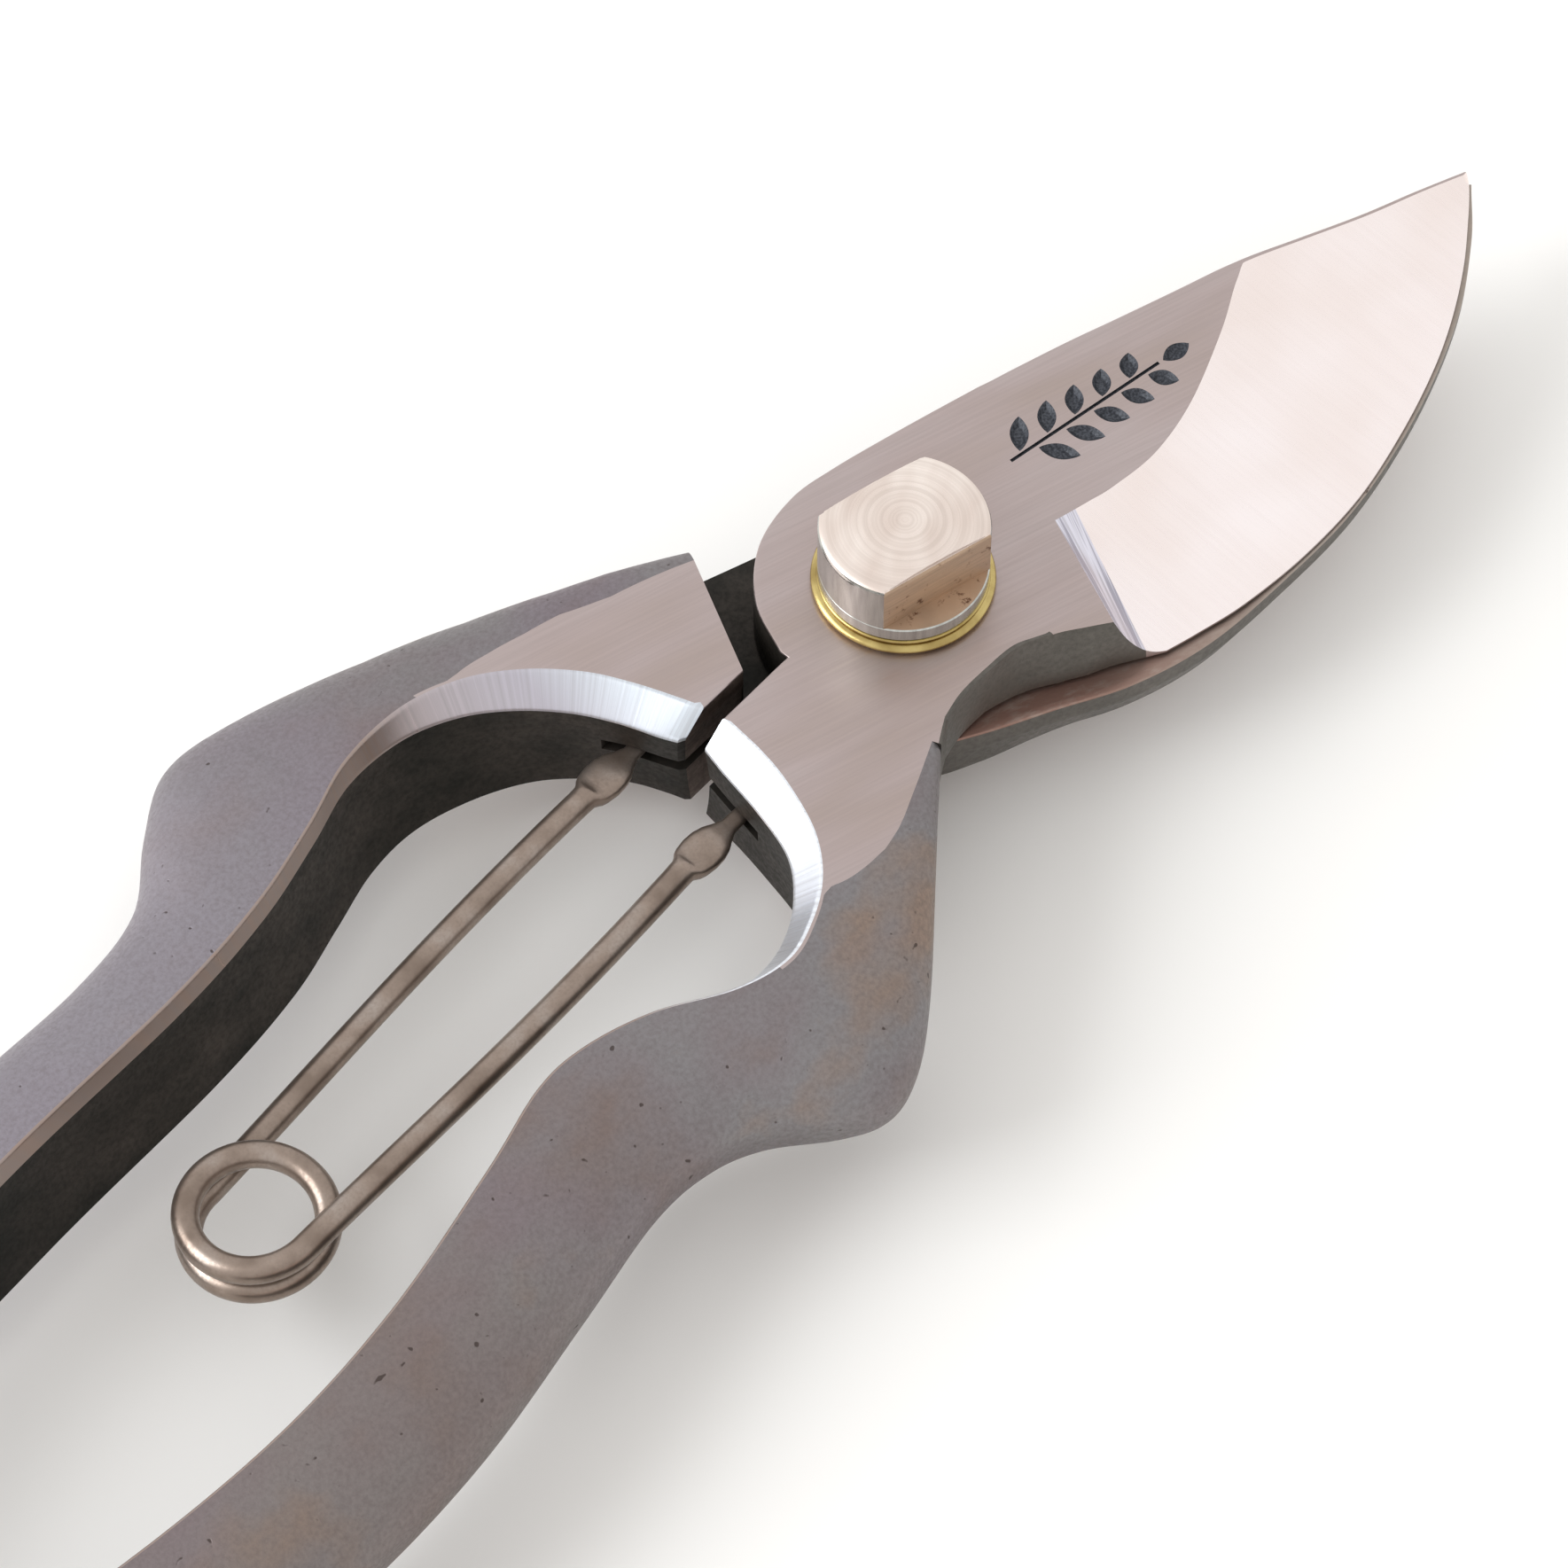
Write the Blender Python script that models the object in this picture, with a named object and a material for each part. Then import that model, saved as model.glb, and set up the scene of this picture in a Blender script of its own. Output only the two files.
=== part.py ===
"""Sprung bypass flower snips, forged as two crossing halves on one bolt.

The blade half lies on top at the pivot and carries the lower handle; the hook half lies
underneath and carries the upper handle.  X runs from the pivot to the blade tip, Y across the
handles, Z up along the bolt.  The origin is on the bolt's axis, on the underside of the nut.
Lengths below are in millimetres; MM turns them into Blender's metres.
"""
import math

import bmesh
import bpy
import numpy as np

MM = 0.001

# ---- overall sizes -------------------------------------------------------------------------
BLADE_REACH = 66.5          # pivot to blade tip
TAIL_REACH = 133.5          # pivot to the ends of the handles
ARCH_REACH = 21.0           # pivot to the crown of the arch between the handles
PARTING_Y = 3.0             # middle of the slit between the two stop faces
STOP_SLIT = 1.8             # width of that slit while the snips lie at rest

# ---- stack on the bolt, from the nut up ----------------------------------------------------
GAP = 0.3                   # clearance between touching pieces
NUT_HEIGHT = 4.0
NUT_FLATS = 12.6
LOCK_WASHER_THICK = 1.0
LOCK_WASHER_RADIUS = 6.6
HOOK_THICK = 5.0            # lower plate
BLADE_THICK = 6.2           # upper plate
BRASS_THICK = 1.1
BRASS_RADIUS = 7.45
SHIM_THICK = 0.4
SHIM_RADIUS = 7.0
FLANGE_THICK = 1.0
HEAD_HEIGHT = 4.3
HEAD_DOME = 0.6
HEAD_RADIUS = 6.9
HEAD_FLATS = 9.2
HEAD_TURN = math.radians(-15.0)
BOLT_RADIUS = 4.0
BOLT_END = 0.0              # height of the bolt's lower end: flush with the nut

# ---- halves --------------------------------------------------------------------------------
BOSS_RADIUS = 12.0
SHOULDER_OFFSET = 3.3       # open crescent between a boss and the other half's shoulder
HANDLE_TOP = 0.3            # handles stand this proud of the ground faces before grinding
HANDLE_DEPTH = 12.2         # handle thickness along Z
BEVEL_DEPTH = 2.0           # ground bevel round the arch
EDGE_LAND = 0.45            # thickness left along the cutting edge
BEVEL_SLOPE_HEEL = 0.45     # rise of the blade's grind at its heel
BEVEL_SLOPE_TIP = 0.32      # and from the middle to the tip
HOOK_TIP_THICK = 2.8
KERF_HEIGHT = 1.4           # slot in the arch wall that seats the spring's tongues
KERF_DEPTH = 3.6
KERF_SPAN = 7.6             # slot length to either side of the parting plane
CROWN = 2.3                 # power of the superellipse down a handle's outer side
WALL_HOLLOW = 0.5           # depth of the hollow in the arch wall
LAP_REACH = 9.0             # how far a half-lap is cleared past the parting plane

# ---- spring --------------------------------------------------------------------------------
WIRE_RADIUS = 1.1
COIL_RADIUS = 5.4
COIL_X = -73.6
COIL_Y = 1.6
COIL_PITCH = 3.0            # rise per turn
COIL_TURNS = 1.5
COIL_SPLIT = 20.0           # degrees left open between the two halves of the coil
SEAT_X = -23.6              # where each leg bears on the arch wall
SEAT_SPREAD = 5.2           # half distance between the two seats
PADDLE_LENGTH = 5.6
PADDLE_WIDTH = 3.6
PADDLE_THICK = 1.5
TONGUE_LENGTH = 2.2
TONGUE_WIDTH = 1.5
TONGUE_THICK = 0.75

# ---- catch at the tails --------------------------------------------------------------------
CATCH_THICK = 1.4
CATCH_WIDTH = 6.0
CATCH_PARK = math.radians(12.0)     # parked along its handle, turned from +X
CATCH_BACK = 9.0            # pivot and stud sit this far in from the handle ends
RIVET_RADIUS = 1.5
RIVET_HEAD_RADIUS = 2.9
RIVET_HEAD_HEIGHT = 1.0
CATCH_WASHER_THICK = 0.6
STUD_RADIUS = 1.5
STUD_CAP_RADIUS = 2.6
STUD_CAP_HEIGHT = 1.0
STUD_SLOT_PLAY = 0.6
CATCH_NOSE = 1.5            # the lever goes on this far past its mouth
PIN_DEPTH = 5.0             # how deep the rivet and the stud go into the handles
PAD_RADIUS = 8.5            # level pad under each catch part
PAD_DROP = 1.0              # the pads lie this far under the blade's flat

FAR = 60.0                  # cutters reach at least this far past the piece they cut

# Heights that follow from the stack.
LOCK_LOW = NUT_HEIGHT + GAP
HOOK_LOW = LOCK_LOW + LOCK_WASHER_THICK + GAP
HOOK_HIGH = HOOK_LOW + HOOK_THICK
BLADE_LOW = HOOK_HIGH + GAP
BLADE_HIGH = BLADE_LOW + BLADE_THICK
BRASS_LOW = BLADE_HIGH + GAP
SHIM_LOW = BRASS_LOW + BRASS_THICK + GAP
FLANGE_LOW = SHIM_LOW + SHIM_THICK + GAP
HEAD_LOW = FLANGE_LOW + FLANGE_THICK
HEAD_TOP = HEAD_LOW + HEAD_HEIGHT
MATE = (HOOK_HIGH + BLADE_LOW) / 2
HANDLE_MID = BLADE_HIGH + HANDLE_TOP - HANDLE_DEPTH / 2
HOLE_RADIUS = BOLT_RADIUS + GAP

# Outline points.  Blade stations are shares of BLADE_REACH; handle stations are shares of the
# run from the arch crown to the handle ends.
SPINE = [(0.17, 9.8), (0.38, 5.8), (0.52, 2.5), (0.66, -0.6), (0.80, -3.3), (0.92, -5.2), (1.0, -6.6)]
EDGE = [(1.0, -6.6), (0.94, -10.0), (0.83, -14.3), (0.68, -18.0), (0.50, -20.2), (0.33, -20.2),
        (0.20, -18.4), (0.11, -15.2)]
HOOK_BACK = [(-0.075, -11.3), (0.0, -14.7), (0.09, -18.2), (0.19, -20.7), (0.32, -21.8), (0.48, -21.7),
             (0.66, -19.4), (0.84, -14.8), (0.95, -10.2), (1.005, -7.0)]
HOOK_INNER = [(0.985, -6.6), (0.90, -8.4), (0.78, -10.6), (0.64, -12.7), (0.50, -13.2), (0.37, -11.8),
              (0.26, -8.0), (0.19, -2.5)]

# Handle lines: (share, y).  Lip is the upper inner arris, foot the lower border of the ground
# bevel, sill the lower inner arris; out is the outer side and flat the border of the ground face.
HOOK_LIP = [(-0.012, 3.0), (-0.006, 5.4), (0.006, 9.4), (0.022, 13.2), (0.050, 17.2), (0.085, 20.2),
            (0.130, 21.9), (0.185, 21.8), (0.240, 19.9), (0.310, 18.0), (0.400, 17.0), (0.560, 16.8),
            (0.720, 15.4), (0.880, 11.8), (1.060, 7.0)]
HOOK_FOOT = [(0.008, 3.0), (0.018, 5.4), (0.029, 9.0), (0.045, 12.6), (0.070, 16.2), (0.100, 19.0),
             (0.140, 20.9), (0.190, 21.2), (0.243, 19.5), (0.310, 17.7), (0.400, 16.7), (0.560, 16.5),
             (0.720, 15.1), (0.880, 11.5), (1.060, 6.7)]
HOOK_SILL = [(0.004, 3.0), (0.010, 5.4), (0.022, 8.7), (0.042, 11.8), (0.070, 14.8), (0.110, 17.2),
             (0.155, 18.6), (0.200, 18.4), (0.250, 16.9), (0.310, 15.2), (0.400, 14.2), (0.560, 13.8),
             (0.720, 12.5), (0.880, 9.0), (1.060, 4.4)]
HOOK_FLAT = [(-0.13, 10.2), (-0.08, 13.4), (-0.03, 16.4), (0.02, 18.9), (0.07, 20.6), (0.12, 22.4)]
HOOK_OUT = [(-0.15, 12.2), (-0.09, 17.0), (-0.03, 21.2), (0.06, 27.2), (0.15, 31.6), (0.22, 34.0),
            (0.265, 34.1), (0.31, 31.0), (0.36, 26.7), (0.43, 25.3), (0.53, 25.5), (0.66, 25.3),
            (0.80, 23.0), (0.92, 18.6), (1.02, 14.0)]
BLADE_LIP = [(-0.014, 3.0), (-0.010, -2.0), (0.000, -6.2), (0.016, -10.2), (0.040, -13.3), (0.070, -15.2),
             (0.104, -16.1), (0.145, -14.8), (0.195, -11.4), (0.245, -9.5), (0.290, -9.3), (0.360, -11.2),
             (0.480, -13.8), (0.600, -14.5), (0.740, -12.9), (0.880, -9.6), (1.060, -5.2)]
BLADE_FOOT = [(0.006, 3.0), (0.013, -1.0), (0.021, -5.0), (0.034, -9.2), (0.056, -12.0), (0.082, -13.8),
              (0.112, -14.6), (0.150, -13.9), (0.198, -11.0), (0.247, -9.2), (0.292, -9.0), (0.362, -10.9),
              (0.482, -13.5), (0.602, -14.2), (0.742, -12.6), (0.882, -9.3), (1.060, -4.9)]
BLADE_SILL = [(0.006, 3.0), (0.011, -1.2), (0.019, -5.6), (0.030, -10.2), (0.048, -13.8), (0.074, -16.2),
              (0.108, -17.6), (0.148, -17.0), (0.200, -14.1), (0.250, -12.3), (0.295, -12.2), (0.364, -14.0),
              (0.484, -16.6), (0.604, -17.2), (0.744, -15.5), (0.884, -12.0), (1.060, -7.4)]
BLADE_FLAT = [(-0.15, -10.0), (-0.12, -10.4), (-0.08, -11.5), (-0.03, -12.8), (0.02, -14.2),
              (0.07, -15.8), (0.12, -16.6)]
BLADE_OUT = [(-0.15, -10.4), (-0.12, -10.9), (-0.09, -13.1), (-0.035, -18.0), (0.04, -24.6),
             (0.09, -28.1), (0.125, -29.0), (0.155, -27.4), (0.195, -23.6), (0.235, -21.6),
             (0.29, -21.2), (0.38, -22.9), (0.50, -25.0), (0.62, -25.3), (0.76, -23.6), (0.90, -19.4),
             (1.02, -14.8)]


# ---- geometry helpers ----------------------------------------------------------------------
def blade_x(share):
    """X of a blade station."""
    return share * BLADE_REACH


def handle_x(share):
    """X of a handle station."""
    return -ARCH_REACH - share * (TAIL_REACH - ARCH_REACH)


def spline(points, per_span):
    """A smooth curve through the points (Catmull-Rom), per_span pieces to each span."""
    pts = np.asarray(points, dtype=float)
    ends = np.vstack([2 * pts[0] - pts[1], pts, 2 * pts[-1] - pts[-2]])
    steps = np.linspace(0.0, 1.0, per_span, endpoint=False)[:, None]
    rows = []
    for a, b, c, d in zip(ends[:-3], ends[1:-2], ends[2:-1], ends[3:]):
        rows.append(0.5 * (2 * b + (c - a) * steps + (2 * a - 5 * b + 4 * c - d) * steps**2
                           + (3 * b - a - 3 * c + d) * steps**3))
    return np.vstack(rows + [pts[-1:]])


def blade_line(points, per_span=4):
    """Plan curve of a blade outline."""
    return spline([(blade_x(s), y) for s, y in points], per_span)


def handle_line(points, per_span=4):
    """Plan curve of a handle line."""
    return spline([(handle_x(s), y) for s, y in points], per_span)


def y_at(line, x):
    """Y of a handle line where it passes x."""
    order = np.argsort(line[:, 0])
    return float(np.interp(x, line[order, 0], line[order, 1]))


def circle(radius, count, start=0.0, sweep=2 * math.pi, centre=(0.0, 0.0)):
    """Points of a circle, or of an arc with both its ends."""
    closed = abs(abs(sweep) - 2 * math.pi) < 1e-9
    turns = np.linspace(start, start + sweep, count, endpoint=not closed)
    return np.column_stack([centre[0] + radius * np.cos(turns), centre[1] + radius * np.sin(turns)])


def lift(outline, z):
    """Plan points as space points at one height."""
    outline = np.asarray(outline, dtype=float)
    return np.column_stack([outline, np.full(len(outline), z)])


def loft(rings):
    """A closed body through rings of equal count, capped at both ends."""
    body = bmesh.new()
    loops = [[body.verts.new(p * MM) for p in np.asarray(ring)] for ring in rings]
    for low, high in zip(loops[:-1], loops[1:]):
        for i in range(len(low)):
            j = (i + 1) % len(low)
            body.faces.new((low[i], low[j], high[j], high[i]))
    body.faces.new(loops[0][::-1])
    body.faces.new(loops[-1])
    bmesh.ops.recalc_face_normals(body, faces=body.faces)
    return body


def prism(outline, low, high):
    """A plan outline stood up between two heights."""
    return loft([lift(outline, low), lift(outline, high)])


def turned(profile, count=40, hole=None):
    """A body of revolution about Z from (radius, z) points; closed as a ring if hole is given."""
    rings = [lift(circle(r, count), z) for r, z in profile]
    if hole is None:
        return loft(rings)
    body = bmesh.new()
    inner = [lift(circle(hole, count), profile[-1][1]), lift(circle(hole, count), profile[0][1])]
    loops = [[body.verts.new(p * MM) for p in ring] for ring in rings + inner]
    for low, high in zip(loops, loops[1:] + loops[:1]):
        for i in range(count):
            j = (i + 1) % count
            body.faces.new((low[i], low[j], high[j], high[i]))
    bmesh.ops.recalc_face_normals(body, faces=body.faces)
    return body


def material(name, colour, roughness, metallic):
    """A plain Principled material."""
    mat = bpy.data.materials.new(name)
    mat.use_nodes = True
    shader = mat.node_tree.nodes["Principled BSDF"]
    shader.inputs["Base Color"].default_value = (*colour, 1.0)
    shader.inputs["Roughness"].default_value = roughness
    shader.inputs["Metallic"].default_value = metallic
    return mat


def add(name, body, mat=None, smooth=35.0):
    """Put a finished mesh in the scene as a named object."""
    mesh = bpy.data.meshes.new(name)
    body.to_mesh(mesh)
    body.free()
    mesh.shade_smooth()
    mesh.set_sharp_from_angle(angle=math.radians(smooth))
    obj = bpy.data.objects.new(name, mesh)
    bpy.context.collection.objects.link(obj)
    if mat:
        mesh.materials.append(mat)
    return obj


def combine(target, name, body, operation="DIFFERENCE"):
    """Cut a shape out of the target, or join it on, with a live Boolean.

    The forged halves take many crossing cuts, which the EXACT solver leaves open.
    """
    tool = add(f"{target.name}_{name}", body)
    tool.hide_render = True
    tool.display_type = "WIRE"
    boolean = target.modifiers.new(name, "BOOLEAN")
    boolean.operation = operation
    boolean.solver = "MANIFOLD" if target.name.endswith("_half") else "EXACT"
    boolean.object = tool


# ---- the two forged halves -----------------------------------------------------------------
def handle_rings(out_line, flat_line, lip_line, side):
    """Handle cross-sections from the root to the tail.

    Each runs from the parting plane over the flat top, down a crowned outer side
    (a superellipse of power CROWN) to mid height, and back underneath.
    """
    root = handle_x(-0.15)
    start = PARTING_Y + side * STOP_SLIT / 2
    knee, tail = handle_x(0.4), handle_x(1.02)
    stations = np.concatenate([np.linspace(root, knee, 26), np.linspace(knee, tail, 16)[1:]])
    flat_end = flat_line[-1, 0]
    rings = []
    for x in stations:
        out = y_at(out_line, x)
        turn = y_at(flat_line, x) if x > flat_end else y_at(lip_line, x)
        fade = min(1.0, max(0.0, (flat_end - x) / 12.0))
        half = HANDLE_DEPTH / 2 - 0.5 * fade
        curve = np.sin(np.linspace(0.0, math.pi / 2, 7))
        drop = (1.0 - curve**CROWN) ** (1.0 / CROWN)
        upper = [(turn + (out - turn) * c, HANDLE_MID + half * d) for c, d in zip(curve, drop)]
        lower = [(y, 2 * HANDLE_MID - z) for y, z in upper[-2::-1]]
        section = [(start, HANDLE_MID + half)] + upper + lower + [(start, HANDLE_MID - half)]
        rings.append(np.array([(x, y, z) for y, z in section]))
    return rings


def arch_cutter(lip, foot, sill, side):
    """The space between the handles, as one half sees it.

    Rings go down from above the ground bevel to its foot, hollow slightly, and come back
    in to the lower arris.
    """
    top, low = BLADE_HIGH, HANDLE_MID - HANDLE_DEPTH / 2
    hollow = 0.5 * (foot + sill)
    hollow[:, 1] += side * WALL_HOLLOW
    extra = 1.5
    levels = [(lip + (lip - foot) * extra / BEVEL_DEPTH, top + extra), (foot, top - BEVEL_DEPTH),
              (hollow, 0.45 * (top + low)), (sill, low + 0.6), (sill + (sill - hollow) * 0.3, low - 1.2)]
    behind = PARTING_Y - side * 5.0
    rings = []
    for line, z in levels:
        ring = [(line[0, 0], behind)] + [tuple(p) for p in line] + [(line[-1, 0], behind)]
        rings.append(lift(ring, z))
    return loft(rings)


def shoulder(side):
    """Plan points of a half-lap shoulder, from the outer side in to the parting plane."""
    radius = BOSS_RADIUS + SHOULDER_OFFSET
    return [(-radius * 0.40, side * radius * 1.38), (-radius * 0.66, side * radius * 0.82),
            (-radius * 0.93, side * radius * 0.30), (-radius * 1.0, PARTING_Y)]


def lap_cutter(side, low, high):
    """Everything on the pivot side of a shoulder, between two heights."""
    edge = shoulder(side)
    past = PARTING_Y - side * LAP_REACH
    outline = edge + [(edge[-1][0], past), (FAR, past), (FAR, edge[0][1])]
    return prism(outline, low, high)


def tail_cutter(y_inner, y_out, side):
    """Rounds a handle's end in plan."""
    radius = abs(y_out - y_inner) / 2
    centre = (-TAIL_REACH + radius, (y_inner + y_out) / 2)
    far, aside = -TAIL_REACH - 12.0, 14.0
    arc = circle(radius, 15, side * math.pi / 2, side * math.pi, centre)
    outline = [(centre[0], centre[1] + side * aside)] + [tuple(p) for p in arc]
    outline += [(centre[0], centre[1] - side * aside), (far, centre[1] - side * aside),
                (far, centre[1] + side * aside)]
    return prism(outline, -FAR, FAR)


def kerf_cutter(side):
    """Slot in the arch wall for one tongue of the spring."""
    wall = handle_x(0.03)
    floor = -ARCH_REACH + KERF_DEPTH - 1.0
    near, end = PARTING_Y - side, PARTING_Y + side * KERF_SPAN
    outline = [(wall, near), (floor, near), (floor, end - side), (floor - 1.0, end), (wall, end)]
    return prism(outline, MATE - KERF_HEIGHT / 2, MATE + KERF_HEIGHT / 2)


def finish_half(half, lines, side):
    """Cuts that both halves share: arch, ground faces, bolt hole, spring slot and tail."""
    lip, foot, sill, out = lines
    combine(half, "arch", arch_cutter(lip, foot, sill, side))
    behind = handle_x(0.5)
    ground = [(FAR, -FAR), (FAR, FAR), (behind, FAR), (behind, -FAR)]
    combine(half, "top_grind", prism(ground, BLADE_HIGH, BLADE_HIGH + 6.0))
    combine(half, "under_grind", prism(ground, HOOK_LOW - 6.0, HOOK_LOW))
    combine(half, "bolt_hole", turned([(HOLE_RADIUS, -FAR), (HOLE_RADIUS, FAR)], 40))
    combine(half, "spring_slot", kerf_cutter(side))
    end = -TAIL_REACH + 4.0
    inner = side * min(side * y_at(lip, end), side * y_at(sill, end))
    combine(half, "tail", tail_cutter(inner, y_at(out, end), side))


def bevel_cutter():
    """The blade's ground bevel: a ruled surface rising inward from the cutting edge."""
    line = blade_line(EDGE)[::-1]
    tangent = np.gradient(line, axis=0)
    tangent /= np.linalg.norm(tangent, axis=1)[:, None]
    inward = np.column_stack([-tangent[:, 1], tangent[:, 0]])
    slopes = np.interp(line[:, 0], [blade_x(0.18), blade_x(0.62)], [BEVEL_SLOPE_HEEL, BEVEL_SLOPE_TIP])
    start = BLADE_LOW + EDGE_LAND
    full = BLADE_HIGH + 1.5 - start
    overhang = 1.2
    lid = BLADE_HIGH + 5.0
    heel = blade_x(0.165)
    rings = []
    for point, across, slope in zip(line, inward, slopes):
        if point[0] < heel:
            continue
        to_tip = BLADE_REACH - point[0]
        width = min(full / slope, 8.0 + 0.7 * to_tip)
        outer = point - across * overhang
        inner = point + across * width
        rings.append(np.array([(*outer, start - overhang * slope), (*inner, start + width * slope),
                               (*inner, lid), (*outer, lid)]))
    step = rings[-1] - rings[-2]
    return loft(rings + [rings[-1] + step * 2.0 / np.linalg.norm(step[0])])


def blade_half(steel):
    """Blade, boss and neck on top; the full-depth handle below and left of the parting plane."""
    out, lip = handle_line(BLADE_OUT), handle_line(BLADE_LIP)
    foot, sill = handle_line(BLADE_FOOT), handle_line(BLADE_SILL)
    boss = circle(BOSS_RADIUS, 22, math.radians(62.0), math.radians(102.0))
    stop = PARTING_Y - STOP_SLIT / 2
    neck = spline([(blade_x(0.11), -15.2), (3.5, -12.4), (-2.0, -10.8), (-7.0, -11.0), (-12.0, -13.6)], 4)
    outline = np.vstack([blade_line(SPINE)[::-1], boss, [(-13.0, stop), (-24.0, stop), (-24.0, -12.0)],
                         neck[::-1][:-1], blade_line(EDGE)[::-1][:-1]])
    half = add("blade_half", prism(outline, BLADE_LOW, BLADE_HIGH + 0.8), steel)
    rings = handle_rings(out, handle_line(BLADE_FLAT), lip, -1)
    combine(half, "handle", loft(rings), "UNION")
    combine(half, "half_lap", lap_cutter(-1, -FAR, BLADE_LOW))
    combine(half, "bevel", bevel_cutter())
    finish_half(half, (lip, foot, sill, out), -1)
    return half


def hook_half(steel):
    """Counter blade and boss underneath; the full-depth handle above the parting plane."""
    out, lip = handle_line(HOOK_OUT), handle_line(HOOK_LIP)
    foot, sill = handle_line(HOOK_FOOT), handle_line(HOOK_SILL)
    boss = circle(BOSS_RADIUS, 16, math.radians(-12.0), math.radians(122.0))
    under = circle(BOSS_RADIUS, 10, math.radians(-166.0), math.radians(48.0))
    stop = PARTING_Y + STOP_SLIT / 2
    outline = np.vstack([blade_line(HOOK_BACK)[:-1], blade_line(HOOK_INNER), boss,
                         [(-12.0, 14.0), (-24.0, 14.0), (-24.0, stop), (-13.0, stop)], under])
    half = add("hook_half", prism(outline, HOOK_LOW - 0.8, HOOK_HIGH), steel)
    rings = handle_rings(out, handle_line(HOOK_FLAT), lip, 1)
    combine(half, "handle", loft(rings), "UNION")
    combine(half, "half_lap", lap_cutter(1, HOOK_HIGH, FAR))
    taper = [(10.0, HOOK_LOW - 0.3), (BLADE_REACH, HOOK_HIGH - HOOK_TIP_THICK),
             (BLADE_REACH + 8.0, HOOK_HIGH - HOOK_TIP_THICK), (BLADE_REACH + 8.0, HOOK_LOW - 4.0),
             (10.0, HOOK_LOW - 4.0)]
    rings = [np.array([(x, y, z) for x, z in taper]) for y in (-30.0, 20.0)]
    combine(half, "underside_taper", loft(rings))
    finish_half(half, (lip, foot, sill, out), 1)
    return half


# ---- bolt stack ----------------------------------------------------------------------------
def pivot_bolt(steel):
    """Domed head with two flats on a round flange, and a shank down into the nut."""
    profile = [(BOLT_RADIUS - 0.5, BOLT_END), (BOLT_RADIUS, BOLT_END + 0.5), (BOLT_RADIUS, FLANGE_LOW),
               (HEAD_RADIUS, FLANGE_LOW), (HEAD_RADIUS, HEAD_TOP - 0.4), (HEAD_RADIUS - 0.4, HEAD_TOP),
               (HEAD_RADIUS * 0.6, HEAD_TOP + HEAD_DOME * 0.65), (HEAD_RADIUS * 0.2, HEAD_TOP + HEAD_DOME)]
    bolt = add("pivot_bolt", turned(profile), steel)
    across = np.array([math.sin(-HEAD_TURN), math.cos(HEAD_TURN)])
    along = np.array([across[1], -across[0]])
    for side in (-1, 1):
        near, far = side * HEAD_FLATS / 2, side * (HEAD_RADIUS + 2.0)
        flat = [across * near - along * 10.0, across * near + along * 10.0,
                across * far + along * 10.0, across * far - along * 10.0]
        combine(bolt, f"flat_{'low' if side < 0 else 'high'}", prism(flat, HEAD_LOW, HEAD_TOP + 5.0))
    return bolt


def ring(name, outer, low, thick, mat, bevel=0.25):
    """A washer with softened edges on the bolt."""
    profile = [(outer - bevel, low), (outer, low + bevel), (outer, low + thick - bevel),
               (outer - bevel, low + thick)]
    return add(name, turned(profile, 40, HOLE_RADIUS), mat)


def pivot_nut(steel):
    """Six-sided nut under the hook half."""
    hexagon = circle(NUT_FLATS / math.sqrt(3), 6, math.radians(15.0))
    nut = add("pivot_nut", prism(hexagon, 0.0, NUT_HEIGHT), steel)
    combine(nut, "thread_hole", turned([(HOLE_RADIUS, -1.0), (HOLE_RADIUS, NUT_HEIGHT + 1.0)], 40))
    return nut


# ---- spring --------------------------------------------------------------------------------
def seat(side):
    """Point in the arch where a leg's tongue turns."""
    return np.array([SEAT_X, PARTING_Y + side * SEAT_SPREAD, MATE])


def spring_path(side):
    """Centre line of one half of the spring, from its paddle into half of the coil."""
    centre = np.array([COIL_X, COIL_Y])
    half_turn = math.pi * COIL_TURNS - math.radians(COIL_SPLIT) / 2
    climb = side * COIL_PITCH * COIL_TURNS / 2
    share = np.linspace(0.0, 1.0, 25)
    turn = side * math.pi / 2 + side * half_turn * share
    coil = np.column_stack([centre[0] + COIL_RADIUS * np.cos(turn), centre[1] + COIL_RADIUS * np.sin(turn),
                            MATE - climb * (1.0 - share * half_turn / (math.pi * COIL_TURNS))])
    root = seat(side) - np.array([PADDLE_LENGTH, 0.0, 0.0])
    span = coil[0] - root
    run = np.linspace(0.0, 1.0, 9)[:-1, None]
    bow = np.column_stack([np.zeros(8), side * 0.4 * np.sin(np.pi * run[:, 0]), np.zeros(8)])
    ease = run * run * (3 - 2 * run)
    leg = root + span * np.hstack([run, run, ease]) + bow
    return np.vstack([leg, coil])


def wire_rings(path, radius, count=10):
    """Round rings square to a path."""
    tangent = np.gradient(path, axis=0)
    tangent /= np.linalg.norm(tangent, axis=1)[:, None]
    up = np.array([0.0, 0.0, 1.0])
    rings = []
    for centre, along in zip(path, tangent):
        across = np.cross(up, along)
        across /= np.linalg.norm(across)
        high = np.cross(along, across)
        turn = np.linspace(0.0, 2 * math.pi, count, endpoint=False)[:, None]
        rings.append(centre + radius * (np.cos(turn) * across + np.sin(turn) * high))
    return rings


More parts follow.
